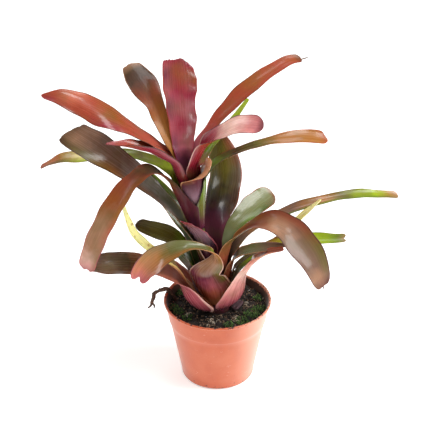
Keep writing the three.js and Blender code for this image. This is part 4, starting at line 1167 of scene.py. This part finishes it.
def leafCuticle(leaf):  # a bromeliad leaf: smooth waxy cuticle over parallel veins, pigmented in patches
    material, tree, shader = newMaterial(f"glossy leaf cuticle, {leaf['name'].replace('_', ' ')}")
    read = {key: addNode(tree, "ShaderNodeAttribute", attribute_name=key).outputs["Fac"]
            for key in ("along", "across", "reach", "face")}
    place = addNode(tree, "ShaderNodeTexCoord").outputs["Object"]
    cloud, patch = [addNode(tree, "ShaderNodeTexNoise", {
        "Vector": place, "Scale": 1 / (size * mm), "Detail": detail}).outputs["Fac"]
        for size, detail in ((14, 3.0), (22, 2.0))]
    # the colour's borders along the leaf are uneven, by a few per cent of its length
    shift = addNode(tree, "ShaderNodeMath", {0: cloud, 1: 0.5}, operation="SUBTRACT")
    along = addNode(tree, "ShaderNodeMath", {0: shift, 1: 0.16, 2: read["along"]}, operation="MULTIPLY_ADD")
    ramps = {key: addNode(tree, "ShaderNodeValToRGB", {"Fac": along}, stops=evenStops(leaf[key]))
             for key in ("upper", "under", "edge", "flank") if key in leaf}
    colour = addNode(tree, "ShaderNodeMix", {
        "Factor": read["face"], "A": ramps["under"], "B": ramps["upper"]}, data_type="RGBA").outputs[2]
    if "flank" in leaf:  # one side of the leaf, towards its margin, is of another colour
        side = leaf["flankSide"]
        turned = addNode(tree, "ShaderNodeMapRange", {
            "Value": read["across"], 1: 0.05 * side, 2: 0.9 * side, 4: 0.9}, interpolation_type="SMOOTHSTEP")
        colour = addNode(tree, "ShaderNodeMix", {
            "Factor": turned, "A": colour, "B": ramps["flank"]}, data_type="RGBA").outputs[2]
    # streaks run with the veins, which are about 0.6 mm apart on the real leaf and drawn a little wider
    streaky = addNode(tree, "ShaderNodeCombineXYZ", {
        "X": read["across"], "Y": read["reach"], "Z": float(leaf["number"])})
    stretch = addNode(tree, "ShaderNodeMapping", {"Vector": streaky, "Scale": (12, 14, 1)})
    streaks = addNode(tree, "ShaderNodeTexNoise", {
        "Vector": stretch, "Scale": 1.0, "Detail": 4.0}).outputs["Fac"]
    tone = addNode(tree, "ShaderNodeMapRange", {"Value": streaks, 1: 0.3, 2: 0.7, 3: 0.9, 4: 1.12})
    toned = addNode(tree, "ShaderNodeVectorMath", {0: colour, "Scale": tone}, operation="SCALE")
    # patches where the green shows through the red, or the red over the green
    patched = addNode(tree, "ShaderNodeMapRange", {"Value": patch, 1: 0.5, 2: 0.75, 4: 0.35})
    layers = [(patched, paint("olive"))]
    if "spots" in leaf:  # brown spots of 2 to 4 mm on a withered leaf
        cells = addNode(tree, "ShaderNodeTexVoronoi", {"Vector": place, "Scale": 1 / (6 * mm)})
        spotted = addNode(tree, "ShaderNodeMapRange", {
            "Value": cells.outputs["Distance"], 1: 0.32, 2: 0.2, 4: leaf["spots"]})
        layers.append((spotted, paint("ochre")))
    # the margin is a thin line of its own colour; where a sheath's margin ramp is pale blush or pink, that
    # line is partly a painted highlight along the rim
    out = addNode(tree, "ShaderNodeMath", {0: read["across"]}, operation="ABSOLUTE")
    ending = addNode(tree, "ShaderNodeMath", {0: read["along"], 1: 0.05}, operation="SUBTRACT")
    border = addNode(tree, "ShaderNodeMath", {0: out, 1: ending}, operation="MAXIMUM")
    rim = addNode(tree, "ShaderNodeMapRange", {"Value": border, 1: 0.9, 2: 0.96, 4: 0.85})
    layers.append((rim, ramps["edge"]))
    colour = toned
    for share, over in layers:
        colour = addNode(tree, "ShaderNodeMix", {"Factor": share, "A": colour, "B": over},
                         data_type="RGBA").outputs[2]
    # the inner face of the sheath is scurfy: matt, without the cuticle's gloss
    low = addNode(tree, "ShaderNodeMapRange", {"Value": read["along"], 1: 0.5, 2: 0.3, 4: 1.0})
    scurf = addNode(tree, "ShaderNodeMath", {0: low, 1: read["face"]}, operation="MULTIPLY")
    matt = leaf.get("matt", 0)
    gloss = 0.3 - matt
    rough = addNode(tree, "ShaderNodeMapRange", {"Value": streaks, 3: 0.18 + matt, 4: 0.36 + matt})
    rougher = addNode(tree, "ShaderNodeMath", {0: scurf, 1: 0.5, 2: rough}, operation="MULTIPLY_ADD")
    coat = addNode(tree, "ShaderNodeMath", {0: scurf, 1: -gloss, 2: gloss}, operation="MULTIPLY_ADD")
    setInputs(tree, shader, {
        "Base Color": colour, "Roughness": rougher, "Coat Weight": coat,
        "IOR": 1.45, "Specular IOR Level": 0.36 - matt, "Coat Roughness": 0.1, "Subsurface Weight": 0.12,
        "Subsurface Radius": (1.0, 0.5, 0.25), "Subsurface Scale": 1.5 * mm})
    return material


# Raises the parallel veins of a leaf and the shallow unevenness between them
def veinTree():
    tree, given = newTree("leaf veins", [
        ("Veins", "Float", 10.0), ("Vein height", "Float", 0.02 * mm), ("Dent size", "Float", 9 * mm),
        ("Dent height", "Float", 0.25 * mm), ("Cuticle", "Material", None)])
    across = addNode(tree, "GeometryNodeInputNamedAttribute", {"Name": "across"}, data_type="FLOAT")
    turns = addNode(tree, "ShaderNodeMath", {0: across, 1: given["Veins"]}, operation="MULTIPLY")
    angle = addNode(tree, "ShaderNodeMath", {0: turns, 1: math.pi}, operation="MULTIPLY")
    wave = addNode(tree, "ShaderNodeMath", {0: angle}, operation="COSINE")
    veins = addNode(tree, "ShaderNodeMath", {0: wave, 1: given["Vein height"]}, operation="MULTIPLY")
    wide = addNode(tree, "ShaderNodeMath", {0: 1.0, 1: given["Dent size"]}, operation="DIVIDE")
    dents = addNode(tree, "ShaderNodeTexNoise", {"Scale": wide, "Detail": 1.0})
    middle = addNode(tree, "ShaderNodeMath", {0: dents.outputs["Fac"], 1: 0.5}, operation="SUBTRACT")
    dented = addNode(tree, "ShaderNodeMath", {
        0: middle, 1: given["Dent height"], 2: veins}, operation="MULTIPLY_ADD")
    out = addNode(tree, "ShaderNodeMath", {0: across}, operation="ABSOLUTE")
    fade = addNode(tree, "ShaderNodeMapRange", {"Value": out, 1: 0.98, 2: 0.8})
    height = addNode(tree, "ShaderNodeMath", {0: dented, 1: fade}, operation="MULTIPLY")
    normal = addNode(tree, "GeometryNodeInputNormal")
    offset = addNode(tree, "ShaderNodeVectorMath", {0: normal, "Scale": height}, operation="SCALE")
    raised = addNode(tree, "GeometryNodeSetPosition", {"Geometry": given["Geometry"], "Offset": offset})
    endTree(tree, raised, given["Cuticle"])
    return tree


def makeLeaf(leaf, rosetteName, veins):
    vertices, faces, attributes = leafMesh(leaf, rosettes[rosetteName])
    cuticle = leafCuticle(leaf)
    piece = newObject(f"{rosetteName}Rosette-{leaf['name']}", vertices, faces, cuticle, attributes)
    growTree(piece, veins, {"Cuticle": cuticle})
    handIn(piece, f"{rosetteName}_leaf_{leaf['name']}")


veins = veinTree()
leaves = [("lower", leaf) for leaf in lowerLeaves] + [("upper", leaf) for leaf in upperLeaves]
for number, (rosetteName, leaf) in enumerate(leaves):
    leaf["number"] = number
    makeLeaf(leaf, rosetteName, veins)
print("leaves made:", len(leaves))

# Floor, light and camera

studio = {
    "aim": (0.0028, 0, 0.197), "distance": 1.4, "elevation": 30, "lens": 106.36,
    "floorHalf": 6, "floor": "#f4f4f3", "floorGlow": 0.47, "surround": "#ffffff", "surroundStrength": 0.34,
    "sky": {"azimuth": 50, "elevation": 76, "angle": 20, "strength": 0.9},
    "lights": [  # azimuth and elevation in degrees, distance, width and height in metres, watts
        ("right", 86, 38, 1.5, 0.7, 1.2, 26), ("left", -104, 40, 1.5, 0.5, 0.8, 6),
        ("low", -20, 7, 1.7, 0.5, 0.35, 5), ("top", 175, 62, 1.6, 0.6, 0.6, 4),
    ],
}


def pointing(azimuth, elevation):  # azimuth 0 is the camera's side
    a, e = math.radians(azimuth), math.radians(elevation)
    return Vector((math.sin(a) * math.cos(e), -math.cos(a) * math.cos(e), math.sin(e)))


def addLamp(name, kind, energy, location, towards, settings):
    data = bpy.data.lights.new(name, kind)
    data.energy = energy
    for key, value in settings.items():
        setattr(data, key, value)
    lamp = bpy.data.objects.new(name, data)
    lamp.location = location
    lamp.rotation_euler = towards.to_track_quat("-Z", "Y").to_euler()
    bpy.context.scene.collection.objects.link(lamp)


def makeFloor():
    paper, tree, shader = newMaterial("pale studio paper")
    setInputs(tree, shader, {
        "Base Color": linear(studio["floor"]), "Roughness": 0.9, "Specular IOR Level": 0.1,
        "Emission Color": linear(studio["floor"]), "Emission Strength": studio["floorGlow"]})
    half = studio["floorHalf"]
    corners = [(-half, -half, 0), (half, -half, 0), (half, half, 0), (-half, half, 0)]
    newObject("studioFloor", corners, [(0, 1, 2, 3)], paper)


def makeLights():
    world = bpy.data.worlds.new("studio surround")
    world.use_nodes = True
    setInputs(world.node_tree, world.node_tree.nodes["Background"], {
        "Color": linear(studio["surround"]), "Strength": studio["surroundStrength"]})
    bpy.context.scene.world = world
    sky = studio["sky"]
    addLamp("overhead diffuser", "SUN", sky["strength"], (0, 0, 0),
            -pointing(sky["azimuth"], sky["elevation"]), {"angle": math.radians(sky["angle"])})
    aim = Vector(studio["aim"])
    for name, azimuth, elevation, distance, width, height, watts in studio["lights"]:
        location = aim + pointing(azimuth, elevation) * distance
        addLamp(f"{name} softbox", "AREA", watts, location, aim - location,
                {"shape": "RECTANGLE", "size": width, "size_y": height})


def makeCamera():
    scene = bpy.context.scene
    data = bpy.data.cameras.new("product camera")
    data.lens = studio["lens"]
    data.sensor_fit = "HORIZONTAL"
    camera = bpy.data.objects.new("product camera", data)
    camera.location = Vector(studio["aim"]) + pointing(0, studio["elevation"]) * studio["distance"]
    camera.rotation_euler = (math.radians(90 - studio["elevation"]), 0, 0)
    scene.collection.objects.link(camera)
    scene.camera = camera
    scene.view_settings.view_transform = "Standard"


makeFloor()
makeLights()
makeCamera()
print("studio made")
